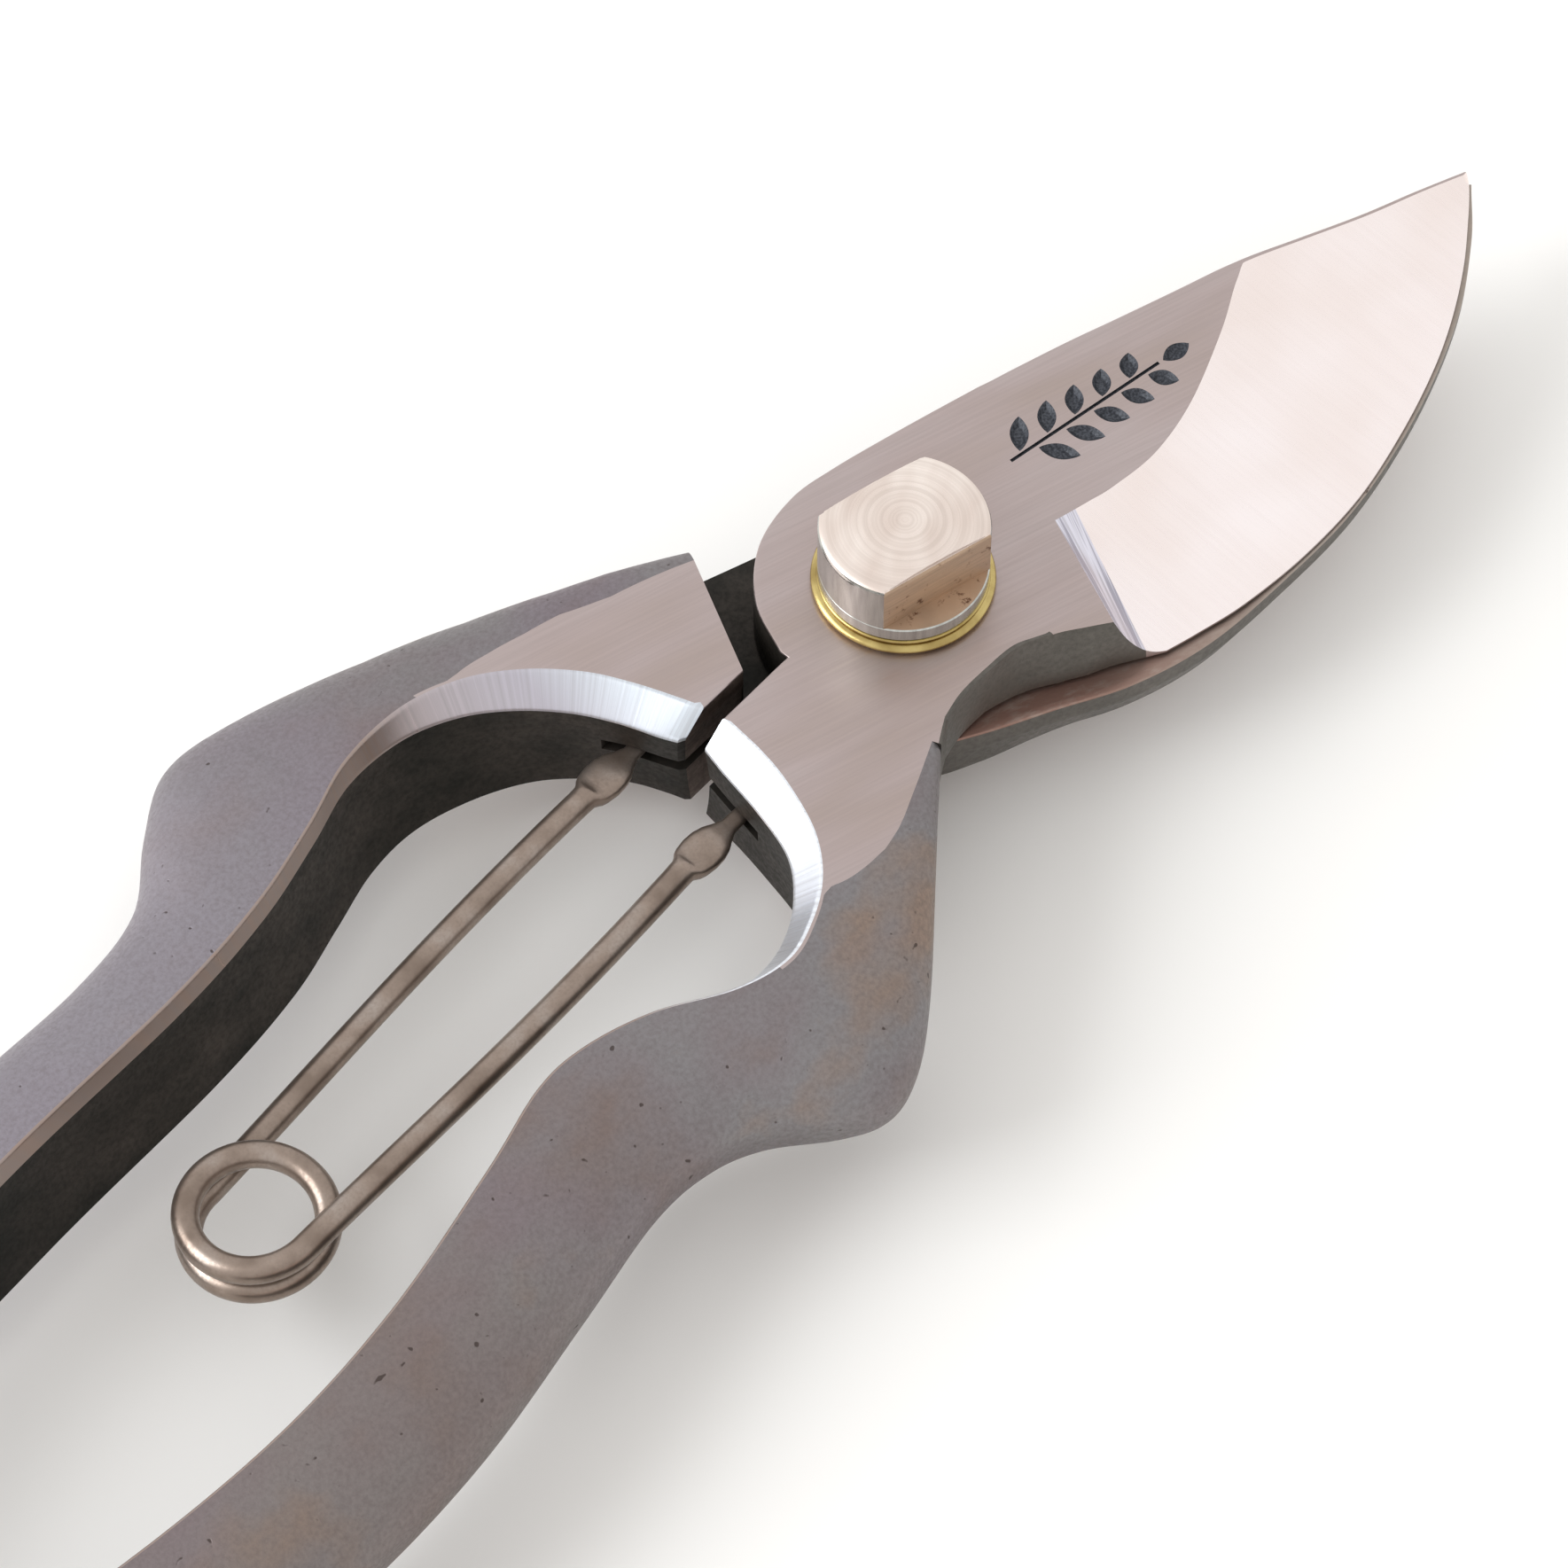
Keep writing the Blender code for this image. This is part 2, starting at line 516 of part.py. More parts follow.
def spring_leg(name, side, steel):
    """One leg: tongue, flattened paddle, straight wire and its share of the coil."""
    path = spring_path(side)
    rings = wire_rings(path, WIRE_RADIUS)
    turn = np.linspace(0.0, 2 * math.pi, 10, endpoint=False)
    tip = seat(side)
    paddle = []
    stations = [(TONGUE_LENGTH, TONGUE_WIDTH * 0.8, TONGUE_THICK), (-0.6, TONGUE_WIDTH, TONGUE_THICK),
                (-2.0, PADDLE_WIDTH * 0.86, PADDLE_THICK * 0.8), (-3.3, PADDLE_WIDTH, PADDLE_THICK),
                (-4.7, PADDLE_WIDTH * 0.85, PADDLE_THICK)]
    for ahead, width, thick in stations:
        across, up = -0.5 * width * np.cos(turn), 0.5 * thick * np.sin(turn)
        paddle.append(tip + np.column_stack([0 * turn + ahead, across, up]))
    return add(name, loft(paddle + rings), steel)


# ---- catch ---------------------------------------------------------------------------------
def tail_centre(lip, out):
    """Middle of a handle's top face where the catch parts stand."""
    x = -TAIL_REACH + CATCH_BACK
    return np.array([x, (y_at(handle_line(lip), x) + y_at(handle_line(out), x)) / 2])


def catch_parts(steel):
    """A flat lever on the hook half's tail that swings over to a stud on the blade half's."""
    pivot, stud = tail_centre(HOOK_LIP, HOOK_OUT), tail_centre(BLADE_LIP, BLADE_OUT)
    seat_z = tail_top()
    reach = float(np.linalg.norm(stud - pivot))
    low = seat_z + GAP + CATCH_WASHER_THICK + GAP
    half = CATCH_WIDTH / 2
    slot = STUD_RADIUS + STUD_SLOT_PLAY
    base = circle(half, 13, math.pi / 2, math.pi)
    nose = circle(half, 7, -math.pi / 2, math.pi / 2, (reach + CATCH_NOSE, 0.0))
    mouth = circle(slot, 9, 0.0, -math.pi, (reach, 0.0))
    outline = np.vstack([base, nose, [(reach + CATCH_NOSE + half, half)], [(reach + slot, half)], mouth,
                         [(reach - slot, half)]]) * [1.0, -1.0]
    cos, sin = math.cos(CATCH_PARK), math.sin(CATCH_PARK)
    turn = np.array([[cos, sin], [-sin, cos]])
    lever = add("catch_lever", prism(outline @ turn + pivot, low, low + CATCH_THICK), steel)
    combine(lever, "rivet_hole", prism(circle(RIVET_RADIUS + GAP, 20, centre=pivot), low - 1.0, low + 4.0))

    washer = ring_at(pivot, RIVET_HEAD_RADIUS, RIVET_RADIUS + GAP, seat_z + GAP, CATCH_WASHER_THICK)
    add("catch_washer", washer, steel)
    head = low + CATCH_THICK + GAP
    rivet = [(RIVET_RADIUS, seat_z - PIN_DEPTH), (RIVET_RADIUS, head), (RIVET_HEAD_RADIUS, head),
             (RIVET_HEAD_RADIUS, head + 0.4), (RIVET_HEAD_RADIUS * 0.6, head + RIVET_HEAD_HEIGHT)]
    add("catch_rivet", loft([lift(circle(r, 20, centre=pivot), z) for r, z in rivet]), steel)
    post = [(STUD_RADIUS, seat_z - PIN_DEPTH), (STUD_RADIUS, head), (STUD_CAP_RADIUS, head),
            (STUD_CAP_RADIUS, head + 0.4), (STUD_CAP_RADIUS * 0.6, head + STUD_CAP_HEIGHT)]
    add("catch_stud", loft([lift(circle(r, 20, centre=stud), z) for r, z in post]), steel)
    return pivot, stud


def ring_at(centre, outer, inner, low, thick):
    """A plain washer about any centre."""
    body = turned([(outer, low), (outer, low + thick)], 24, inner)
    bmesh.ops.translate(body, verts=body.verts, vec=(centre[0] * MM, centre[1] * MM, 0.0))
    return body


def tail_top():
    """Height of the small ground pads that carry the catch parts."""
    return BLADE_HIGH - PAD_DROP


def pads(half, centre, hole):
    """A level pad and a blind hole in a handle's top for one catch part."""
    top = tail_top()
    combine(half, "catch_pad", prism(circle(PAD_RADIUS, 24, centre=centre), top, top + PAD_RADIUS))
    depth = PIN_DEPTH + GAP
    combine(half, "catch_hole", prism(circle(hole + GAP, 20, centre=centre), top - depth, top + 1.0))


def main():
    for obj in list(bpy.data.objects):
        bpy.data.objects.remove(obj)
    forged = material("forged_steel", (0.30, 0.25, 0.24), 0.45, 0.9)
    bright = material("bright_steel", (0.55, 0.50, 0.46), 0.35, 1.0)
    brass = material("brass", (0.62, 0.47, 0.16), 0.35, 1.0)
    wire = material("spring_wire", (0.35, 0.28, 0.23), 0.4, 1.0)
    blade = blade_half(forged)
    hook = hook_half(forged)
    pads(blade, tail_centre(BLADE_LIP, BLADE_OUT), STUD_RADIUS)
    pads(hook, tail_centre(HOOK_LIP, HOOK_OUT), RIVET_RADIUS)
    pivot_bolt(bright)
    ring("brass_washer", BRASS_RADIUS, BRASS_LOW, BRASS_THICK, brass, 0.35)
    ring("head_shim", SHIM_RADIUS, SHIM_LOW, SHIM_THICK, bright, 0.1)
    ring("lock_washer", LOCK_WASHER_RADIUS, LOCK_LOW, LOCK_WASHER_THICK, bright)
    pivot_nut(bright)
    spring_leg("spring_hook_leg", 1, wire)
    spring_leg("spring_blade_leg", -1, wire)
    catch_parts(bright)


main()
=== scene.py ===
# %% [markdown]
# # Forged flower snips
# Two forged steel halves cross on one bolt.  One carries a wide blade, the other a hook that holds
# the stem.  A long wire spring opens them, and a small catch at the tails keeps them shut.
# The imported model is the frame: it says where everything is, so it is loaded before anything is made.

# %% Load the frame and keep its box
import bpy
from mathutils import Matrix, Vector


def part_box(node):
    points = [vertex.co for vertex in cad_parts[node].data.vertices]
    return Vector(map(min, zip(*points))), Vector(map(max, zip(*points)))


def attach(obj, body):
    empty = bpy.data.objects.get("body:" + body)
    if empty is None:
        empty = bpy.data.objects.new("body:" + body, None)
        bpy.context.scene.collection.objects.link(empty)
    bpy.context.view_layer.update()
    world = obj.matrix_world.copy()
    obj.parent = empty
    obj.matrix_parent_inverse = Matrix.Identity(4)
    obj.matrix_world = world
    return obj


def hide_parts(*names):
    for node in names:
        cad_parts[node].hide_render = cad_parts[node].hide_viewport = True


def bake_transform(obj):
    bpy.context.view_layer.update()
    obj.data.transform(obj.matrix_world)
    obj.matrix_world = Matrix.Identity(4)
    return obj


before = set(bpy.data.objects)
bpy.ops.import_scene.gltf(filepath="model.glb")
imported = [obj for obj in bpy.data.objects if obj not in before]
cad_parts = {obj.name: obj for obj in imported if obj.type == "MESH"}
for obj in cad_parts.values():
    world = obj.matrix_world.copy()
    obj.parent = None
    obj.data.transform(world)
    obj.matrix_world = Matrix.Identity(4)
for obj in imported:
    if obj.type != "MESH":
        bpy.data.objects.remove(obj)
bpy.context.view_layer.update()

import math

import bmesh
import bpy
import numpy as np
from mathutils import Vector

MM = 0.001

# %% [markdown]
# ## Heights of the stack
# Everything on the bolt is piled up from the nut to the head.  The frame already holds those heights,
# so they are asked for instead of typed again: a piece can then never drift off its neighbour.


# %% Ask the frame for heights
def levels(node):
    """Lowest and highest Z of a node, in millimetres."""
    low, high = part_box(node)
    return low.z / MM, high.z / MM


GAP = 0.3             # air between pieces that touch
PLATE = 6.2           # thickness of the blade's plate
HANDLE_HALF = 6.1     # half the depth of a handle
BOLT_HOLE = 4.3       # radius of the hole for the bolt
HOOK_LOW = levels("lock_washer")[1] + GAP
BLADE_TOP = levels("brass_washer")[0] - GAP
BLADE_LOW = BLADE_TOP - PLATE
HOOK_TOP = BLADE_LOW - GAP
MATE = (HOOK_TOP + BLADE_LOW) / 2
HANDLE_MID = BLADE_TOP + GAP - HANDLE_HALF
print("blade plate from", round(BLADE_LOW, 2), "to", round(BLADE_TOP, 2), "mm")

# %% [markdown]
# ## Camera
# A camera is a point, a direction and a lens.  A long lens from half a metre keeps the handles from
# looking swollen.  The camera stands off the snips' right shoulder and looks down at them, so it is
# placed by an aim point, two angles and a distance, and then turned to face the aim point.

# %% Place the camera
AIM = (-20.92, -5.55, 17.1)
AZIMUTH, ELEVATION = math.radians(-49.0), math.radians(57.5)
DISTANCE = 450.76
camera = bpy.data.objects.new("camera", bpy.data.cameras.new("camera"))
bpy.context.collection.objects.link(camera)
camera.data.sensor_width = 36.0
camera.data.lens = 132.28
camera.rotation_euler = (math.pi / 2 - ELEVATION, 0.0, AZIMUTH)
bpy.context.view_layer.update()
backwards = camera.matrix_world.to_3x3() @ Vector((0.0, 0.0, 1.0))
camera.location = (Vector(AIM) + backwards * DISTANCE) * MM
camera.data.clip_start = 0.01
bpy.context.scene.camera = camera
print("camera at", [round(v / MM) for v in camera.location], "mm")

# %% [markdown]
# ## Surfaces from grids
# Every new piece here is a grid of points: one direction runs along the piece and the other goes
# round it.  Numpy works out all points at once, and the mesh only has to join neighbours.


# %% A curve through rows of numbers
def fair(rows, steps):
    """Smooth curve through rows: between two rows, the cubic whose slope at each row is half the
    step from the row before to the row after."""
    rows = np.asarray(rows, float)
    more = np.vstack([2 * rows[0] - rows[1], rows, 2 * rows[-1] - rows[-2]])
    at = np.linspace(0, len(rows) - 1, (len(rows) - 1) * steps + 1)
    i = np.minimum(at.astype(int), len(rows) - 2)
    t = (at - i)[:, None]
    a, b, c, d = more[i], more[i + 1], more[i + 2], more[i + 3]
    bend, twist = 2 * a - 5 * b + 4 * c - d, 3 * b - a - 3 * c + d
    return 0.5 * (2 * b + (c - a) * t + bend * t**2 + twist * t**3)


# %% A mesh over a grid
def skin(name, grid, finishes, index=None, ring=False):
    """Quads between neighbours of a grid (rows, round, 3) in millimetres.  The round direction
    closes on itself.  The rows close too if ring is true; if not, both ends get one flat face.
    Index says which of the finishes each quad takes."""
    m, n = grid.shape[:2]
    ids = np.arange(m * n).reshape(m, n)
    here, there = (ids, np.roll(ids, -1, 0)) if ring else (ids[:-1], ids[1:])
    quads = np.stack([here, np.roll(here, -1, 1), np.roll(there, -1, 1), there], -1).reshape(-1, 4)
    faces = quads.tolist() + ([] if ring else [ids[0].tolist(), ids[-1].tolist()])
    mesh = bpy.data.meshes.new(name)
    mesh.from_pydata((grid.reshape(-1, 3) * MM).tolist(), [], faces)
    if index is not None:
        spare = np.zeros(len(faces) - index.size, int)
        mesh.polygons.foreach_set("material_index", np.concatenate([index.ravel(), spare]))
    face_out(mesh)
    piece = bpy.data.objects.new(name, mesh)
    bpy.context.collection.objects.link(piece)
    for finish in finishes:
        mesh.materials.append(finish)
    return piece


# %% Faces that look outwards
def face_out(mesh):
    """Turns the faces of a closed mesh so that they all look out of it."""
    work = bmesh.new()
    work.from_mesh(mesh)
    bmesh.ops.remove_doubles(work, verts=work.verts, dist=1e-7)
    bmesh.ops.recalc_face_normals(work, faces=work.faces)
    work.to_mesh(mesh)
    work.free()


def crisp(piece, degrees=32.0):
    """Smooth shading that stays sharp where two faces meet at more than this angle."""
    piece.data.shade_smooth()
    piece.data.set_sharp_from_angle(angle=math.radians(degrees))
    print(piece.name, "has", len(piece.data.polygons), "faces")
    return piece


# %% [markdown]
# ## Finishes
# Steel looks different wherever a different tool touched it.  Here that is a heat-coloured forged
# skin, belt-brushed flats, hand-ground bevels, a honed blade bevel and dark unground walls.
# Each finish is a small node graph on object coordinates, so a pattern keeps its real size.


# %% Small helpers for node graphs
def finish(name, roughness, metallic):
    """A material with a Principled shader, and its graph."""
    mat = bpy.data.materials.new(name)
    mat.use_nodes = True
    shader = mat.node_tree.nodes["Principled BSDF"]
    shader.inputs["Roughness"].default_value = roughness
    shader.inputs["Metallic"].default_value = metallic
    return mat, mat.node_tree, shader


def place(tree, scale=(1, 1, 1), turn=(0, 0, 0), centre=(0, 0, 0)):
    """Object coordinates in millimetres, moved, turned, then stretched."""
    coords = tree.nodes.new("ShaderNodeTexCoord")
    turned_about = tree.nodes.new("ShaderNodeMapping")
    turned_about.vector_type = "TEXTURE"
    turned_about.inputs["Location"].default_value = [c * MM for c in centre]
    turned_about.inputs["Rotation"].default_value = turn
    stretched = tree.nodes.new("ShaderNodeMapping")
    stretched.inputs["Scale"].default_value = [s / MM for s in scale]
    tree.links.new(coords.outputs["Object"], turned_about.inputs["Vector"])
    tree.links.new(turned_about.outputs["Vector"], stretched.inputs["Vector"])
    return stretched.outputs["Vector"]


def noise(tree, where, detail=3.0, rough=0.5):
    """Cloudy values from 0 to 1."""
    node = tree.nodes.new("ShaderNodeTexNoise")
    node.inputs["Scale"].default_value = 1.0
    node.inputs["Detail"].default_value = detail
    node.inputs["Roughness"].default_value = rough
    tree.links.new(where, node.inputs["Vector"])
    return node.outputs["Fac"]


def shades(tree, value, stops):
    """Colours along a value."""
    node = tree.nodes.new("ShaderNodeValToRGB")
    ramp = node.color_ramp
    while len(ramp.elements) < len(stops):
        ramp.elements.new(0.5)
    for element, (position, colour) in zip(ramp.elements, stops):
        element.position, element.color = position, (*colour, 1.0)
    tree.links.new(value, node.inputs["Fac"])
    return node.outputs["Color"]


def span(tree, value, low, high, out_low=0.0, out_high=1.0):
    """Rescales a value and clips it at both ends."""
    node = tree.nodes.new("ShaderNodeMapRange")
    for key, number in (("From Min", low), ("From Max", high), ("To Min", out_low), ("To Max", out_high)):
        node.inputs[key].default_value = number
    tree.links.new(value, node.inputs["Value"])
    return node.outputs["Result"]


def mixed(tree, share, first, second, way="MIX"):
    """Two colours mixed by a share."""
    node = tree.nodes.new("ShaderNodeMix")
    node.data_type, node.blend_type = "RGBA", way
    node.inputs[6].default_value = node.inputs[7].default_value = (0.5, 0.5, 0.5, 1.0)
    for socket, given in ((node.inputs[0], share), (node.inputs[6], first), (node.inputs[7], second)):
        if isinstance(given, bpy.types.NodeSocket):
            tree.links.new(given, socket)
        else:
            socket.default_value = given if isinstance(given, float) else (*given, 1.0)
    return node.outputs[2]


def raised(tree, shader, *layers):
    """Bumps stacked on each other; each layer is (height, depth in millimetres)."""
    normal = None
    for height, depth in layers:
        node = tree.nodes.new("ShaderNodeBump")
        node.inputs["Strength"].default_value = 1.0
        node.inputs["Distance"].default_value = depth * MM
        tree.links.new(height, node.inputs["Height"])
        if normal is not None:
            tree.links.new(normal, node.inputs["Normal"])
        normal = node.outputs["Normal"]
    tree.links.new(normal, shader.inputs["Normal"])


def coat(tree, shader, colour, layers, rough=None):
    """Plugs in a colour and stacked bumps.  Rough is (value, low, high): the roughness runs from low
    to high while the value goes from 0.3 to 0.7."""
    tree.links.new(colour, shader.inputs["Base Color"])
    if rough:
        tree.links.new(span(tree, rough[0], 0.3, 0.7, *rough[1:]), shader.inputs["Roughness"])
    raised(tree, shader, *layers)


def axis_of(tree, where, axis):
    """One coordinate of a position."""
    node = tree.nodes.new("ShaderNodeSeparateXYZ")
    tree.links.new(where, node.inputs[0])
    return node.outputs[axis]


def times(tree, first, second):
    """Product of two values."""
    node = tree.nodes.new("ShaderNodeMath")
    node.operation = "MULTIPLY"
    tree.links.new(first, node.inputs[0])
    tree.links.new(second, node.inputs[1])
    return node.outputs[0]


def joined(tree, value, numbers, scale):
    """Puts a value on the X axis of a vector whose other numbers are given, for noise that only
    changes with that value."""
    node = tree.nodes.new("ShaderNodeCombineXYZ")
    tree.links.new(value, node.inputs["X"])
    node.inputs["Y"].default_value, node.inputs["Z"].default_value = numbers
    scaled = tree.nodes.new("ShaderNodeVectorMath")
    scaled.operation = "SCALE"
    scaled.inputs["Scale"].default_value = scale
    tree.links.new(node.outputs["Vector"], scaled.inputs[0])
    return scaled.outputs["Vector"]


# %% [markdown]
# ### Forged skin
# The handles were never ground.  The fire left them grey with brown and violet clouds, a fine
# grain of scale, and a few dark pits.  Three noises of different size make that better than one
# noise with much detail, because each can have its own colour and its own depth.  Two gradients
# on top are painted light and shade: the hook handle is made lighter and bluer, and the blade
# handle darker and browner towards its outer side and its tail.

# %% Forged skin
forged, tree, shader = finish("forged_skin", 0.46, 0.8)
clouds = noise(tree, place(tree, (0.07, 0.09, 0.09)), 4.0)
base = shades(tree, clouds, [(0.30, (0.215, 0.165, 0.150)), (0.44, (0.225, 0.200, 0.205)),
                             (0.56, (0.235, 0.222, 0.225)), (0.70, (0.275, 0.205, 0.165))])
violet = noise(tree, place(tree, (0.045, 0.06, 0.06), centre=(40, 15, 0)), 2.0)
base = mixed(tree, span(tree, violet, 0.50, 0.72, 0.0, 0.55), base, (0.235, 0.185, 0.225))
across, along = axis_of(tree, place(tree), "Y"), axis_of(tree, place(tree), "X")
# Painted light: the hook handle is made lighter and bluer, as if lit by the bluish window.
painted_window_light = times(tree, span(tree, across, 6.0, 14.0), span(tree, along, -32.0, -60.0, 0.0, 0.75))
base = mixed(tree, painted_window_light, base, (0.30, 0.275, 0.31))
# Painted shade: the blade handle is made darker and browner towards its outer side and its tail.
painted_shade_blade_side = times(tree, span(tree, across, -6.0, -14.0), span(tree, along, -45.0, -75.0, 0.0, 0.40))
base = mixed(tree, painted_shade_blade_side, base, (0.20, 0.150, 0.125))
grain = noise(tree, place(tree, (2.6, 2.6, 2.6)), 3.0, 0.6)
base = mixed(tree, span(tree, grain, 0.35, 0.7, 0.0, 0.35), base, (0.13, 0.105, 0.10))
pits = noise(tree, place(tree, (1.1, 1.1, 1.1)), 1.0)
base = mixed(tree, span(tree, pits, 0.74, 0.78, 0.0, 0.8), base, (0.05, 0.035, 0.03))
sunk = span(tree, pits, 0.80, 0.72)
coat(tree, shader, base, [(clouds, 0.25), (grain, 0.022), (sunk, 0.03)], (grain, 0.40, 0.56))

# %% [markdown]
# ### Brushed flats
# A belt leaves long fine scratches that all run one way.  A noise stretched fifty times along that
# way gives them, and a second, softer noise keeps the tone from being even.

# %% Brushed flats
brushed, tree, shader = finish("brushed_flat", 0.36, 0.9)
belt_run = (0, 0, math.radians(-18))
lines = noise(tree, place(tree, (0.10, 5.0, 5.0), turn=belt_run), 3.0, 0.6)
broad = noise(tree, place(tree, (0.05, 0.16, 0.16), turn=belt_run), 2.0)
base = shades(tree, broad, [(0.30, (0.44, 0.355, 0.325)), (0.50, (0.475, 0.39, 0.375)),
                            (0.72, (0.505, 0.43, 0.42))])
base = mixed(tree, span(tree, lines, 0.35, 0.65, 0.0, 0.30), base, (0.36, 0.30, 0.285))
coat(tree, shader, base, [(lines, 0.006)], (lines, 0.30, 0.44))

# %% [markdown]
# ### Ground bevels round the arch
# These were held against a coarse wheel, so the marks run down the slope, towards the middle of
# the arch.  Noise that only changes with the angle round that middle draws them.  On the hook half
# the bevel goes from a painted highlight, bright and bluish near the stop, to lilac and then
# heat-browned steel, which a ramp along X does.  On the blade half its near-white bluish colour is a
# painted reflection of the window, turning heat-brown towards the tail.

# %% Ground bevels
bevelled, tree, shader = finish("ground_bevel", 0.30, 0.85)
spokes = tree.nodes.new("ShaderNodeTexGradient")
spokes.gradient_type = "RADIAL"
tree.links.new(place(tree, centre=(-38.0, 3.0, 0.0)), spokes.inputs["Vector"])
marks = noise(tree, joined(tree, spokes.outputs["Fac"], (0.0, 0.0), 300.0), 3.0, 0.65)
along, across = axis_of(tree, place(tree), "X"), axis_of(tree, place(tree), "Y")
# Bright and bluish near the stop is a painted highlight; lilac and brown further back are heat colours.
heat_and_highlight = shades(tree, span(tree, along, -22.0, -44.0),
              [(0.0, (0.74, 0.79, 0.85)), (0.22, (0.54, 0.51, 0.57)),
               (0.50, (0.50, 0.44, 0.46)), (0.80, (0.36, 0.27, 0.23))])
# Painted reflection of the window: near-white and bluish on the blade half's bevel, heat-brown towards the
# tail.
window_reflection_then_heat = mixed(tree, span(tree, along, -36.0, -44.0), (0.92, 0.95, 1.0), (0.36, 0.27, 0.23))
base = mixed(tree, span(tree, across, 1.0, 4.0), window_reflection_then_heat, heat_and_highlight)
base = mixed(tree, span(tree, marks, 0.38, 0.66, 0.0, 0.45), base, (0.33, 0.31, 0.31))
coat(tree, shader, base, [(marks, 0.012)], (marks, 0.26, 0.42))

# %% [markdown]
# ### Dark walls
# No wheel reaches the inner walls, so they keep their black-brown scale.  They are also made
# darker towards the tails.
# The neck is smoother and greyer, and the stop faces, which knock together, are bare and rusty.
# All three are the same graph with other tones.


# %% Walls
def wall_finish(name, dark, light, roughness):
    """Scale on an unground wall: two tones, a fine grain, and a darker stretch towards the tail."""
    mat, tree, shader = finish(name, roughness, 0.6)
    tone = noise(tree, place(tree, (0.12, 0.12, 0.2)), 4.0, 0.6)
    base = shades(tree, tone, [(0.32, dark), (0.70, light)])
    grain = noise(tree, place(tree, (2.2, 2.2, 2.2)), 3.0, 0.6)
    base = mixed(tree, span(tree, grain, 0.4, 0.7, 0.0, 0.4), base, tuple(c * 0.6 for c in dark))
    back = span(tree, axis_of(tree, place(tree), "X"), -70.0, -95.0, 0.0, 0.7)
    base = mixed(tree, back, base, tuple(c * 0.4 for c in dark))
    coat(tree, shader, base, [(tone, 0.12), (grain, 0.015)], (grain, roughness - 0.06, roughness + 0.10))
    return mat


scale_wall = wall_finish("scale_wall", (0.012, 0.011, 0.008), (0.058, 0.046, 0.038), 0.50)
neck_wall = wall_finish("neck_wall", (0.100, 0.092, 0.080), (0.140, 0.125, 0.110), 0.40)
rusty = wall_finish("rusty_face", (0.060, 0.040, 0.032), (0.300, 0.235, 0.200), 0.45)

# %% [markdown]
# ### The hook's stained top and the plunge
# Sap and heat have turned the hook's top copper brown, with black pits.  The plunge, where the wheel
# ran out of the blade, keeps coarse scratches along its own line; their bright stripes are painted
# highlights.

# %% Stained top
stained, tree, shader = finish("stained_hook", 0.40, 0.8)
blot = noise(tree, place(tree, (0.35, 0.9, 0.9), turn=(0, 0, math.radians(-25))), 4.0, 0.65)
copper = span(tree, axis_of(tree, place(tree), "X"), 4.0, 26.0)
base = mixed(tree, copper, (0.29, 0.170, 0.135), (0.36, 0.31, 0.27))
base = mixed(tree, span(tree, blot, 0.45, 0.62, 0.0, 0.5), base, (0.44, 0.36, 0.31))
base = mixed(tree, span(tree, blot, 0.66, 0.70, 0.0, 0.9), base, (0.05, 0.035, 0.03))
coat(tree, shader, base, [(blot, 0.03)])

# %% Plunge
plunged, tree, shader = finish("plunge_grind", 0.30, 0.9)
scratches_and_highlights = noise(tree, place(tree, (2.4, 0.06, 0.06), turn=(0, 0, math.radians(-24))), 2.0, 0.6)
# The bright stripe in these shades is a painted highlight on the scratches.
base = shades(tree, scratches_and_highlights, [(0.38, (0.42, 0.40, 0.46)), (0.50, (0.80, 0.78, 0.86)),
                             (0.62, (0.55, 0.53, 0.58))])
coat(tree, shader, base, [(scratches_and_highlights, 0.06)])

# %% [markdown]
# ### Honed blade bevel
# The last stone used on the bevel is fine, so it shines almost evenly, with only a faint cloud and
# hairlines that cross the edge.  Its near-white colour is a painted sheen: the same steel as the
# flats, drawn much brighter.

# %% Honed bevel
honed, tree, shader = finish("honed_bevel_painted_sheen", 0.24, 0.9)
hair = noise(tree, place(tree, (3.0, 0.12, 0.12), turn=(0, 0, math.radians(8))), 2.0)
cloud = noise(tree, place(tree, (0.06, 0.08, 0.08)), 2.0)
# Painted sheen: the bevel's base colour is near white, far brighter than the flats' steel.
base = shades(tree, cloud, [(0.3, (0.92, 0.81, 0.77)), (0.7, (1.0, 0.92, 0.91))])
base = mixed(tree, span(tree, hair, 0.4, 0.7, 0.0, 0.10), base, (0.74, 0.65, 0.61))
coat(tree, shader, base, [(hair, 0.002)], (hair, 0.20, 0.30))

# %% [markdown]
# ## The two halves
# In plan, a half is a set of lines.  The lip is the upper inner edge of the handle, the foot is the
# lower border of its ground bevel, the sill is the lower inner edge, and the outer line is the
# palm side.  A station joins matching points of all lines, and a closed section stands on it.
# One skin over all stations, from tail to tip, then has no seams at all.

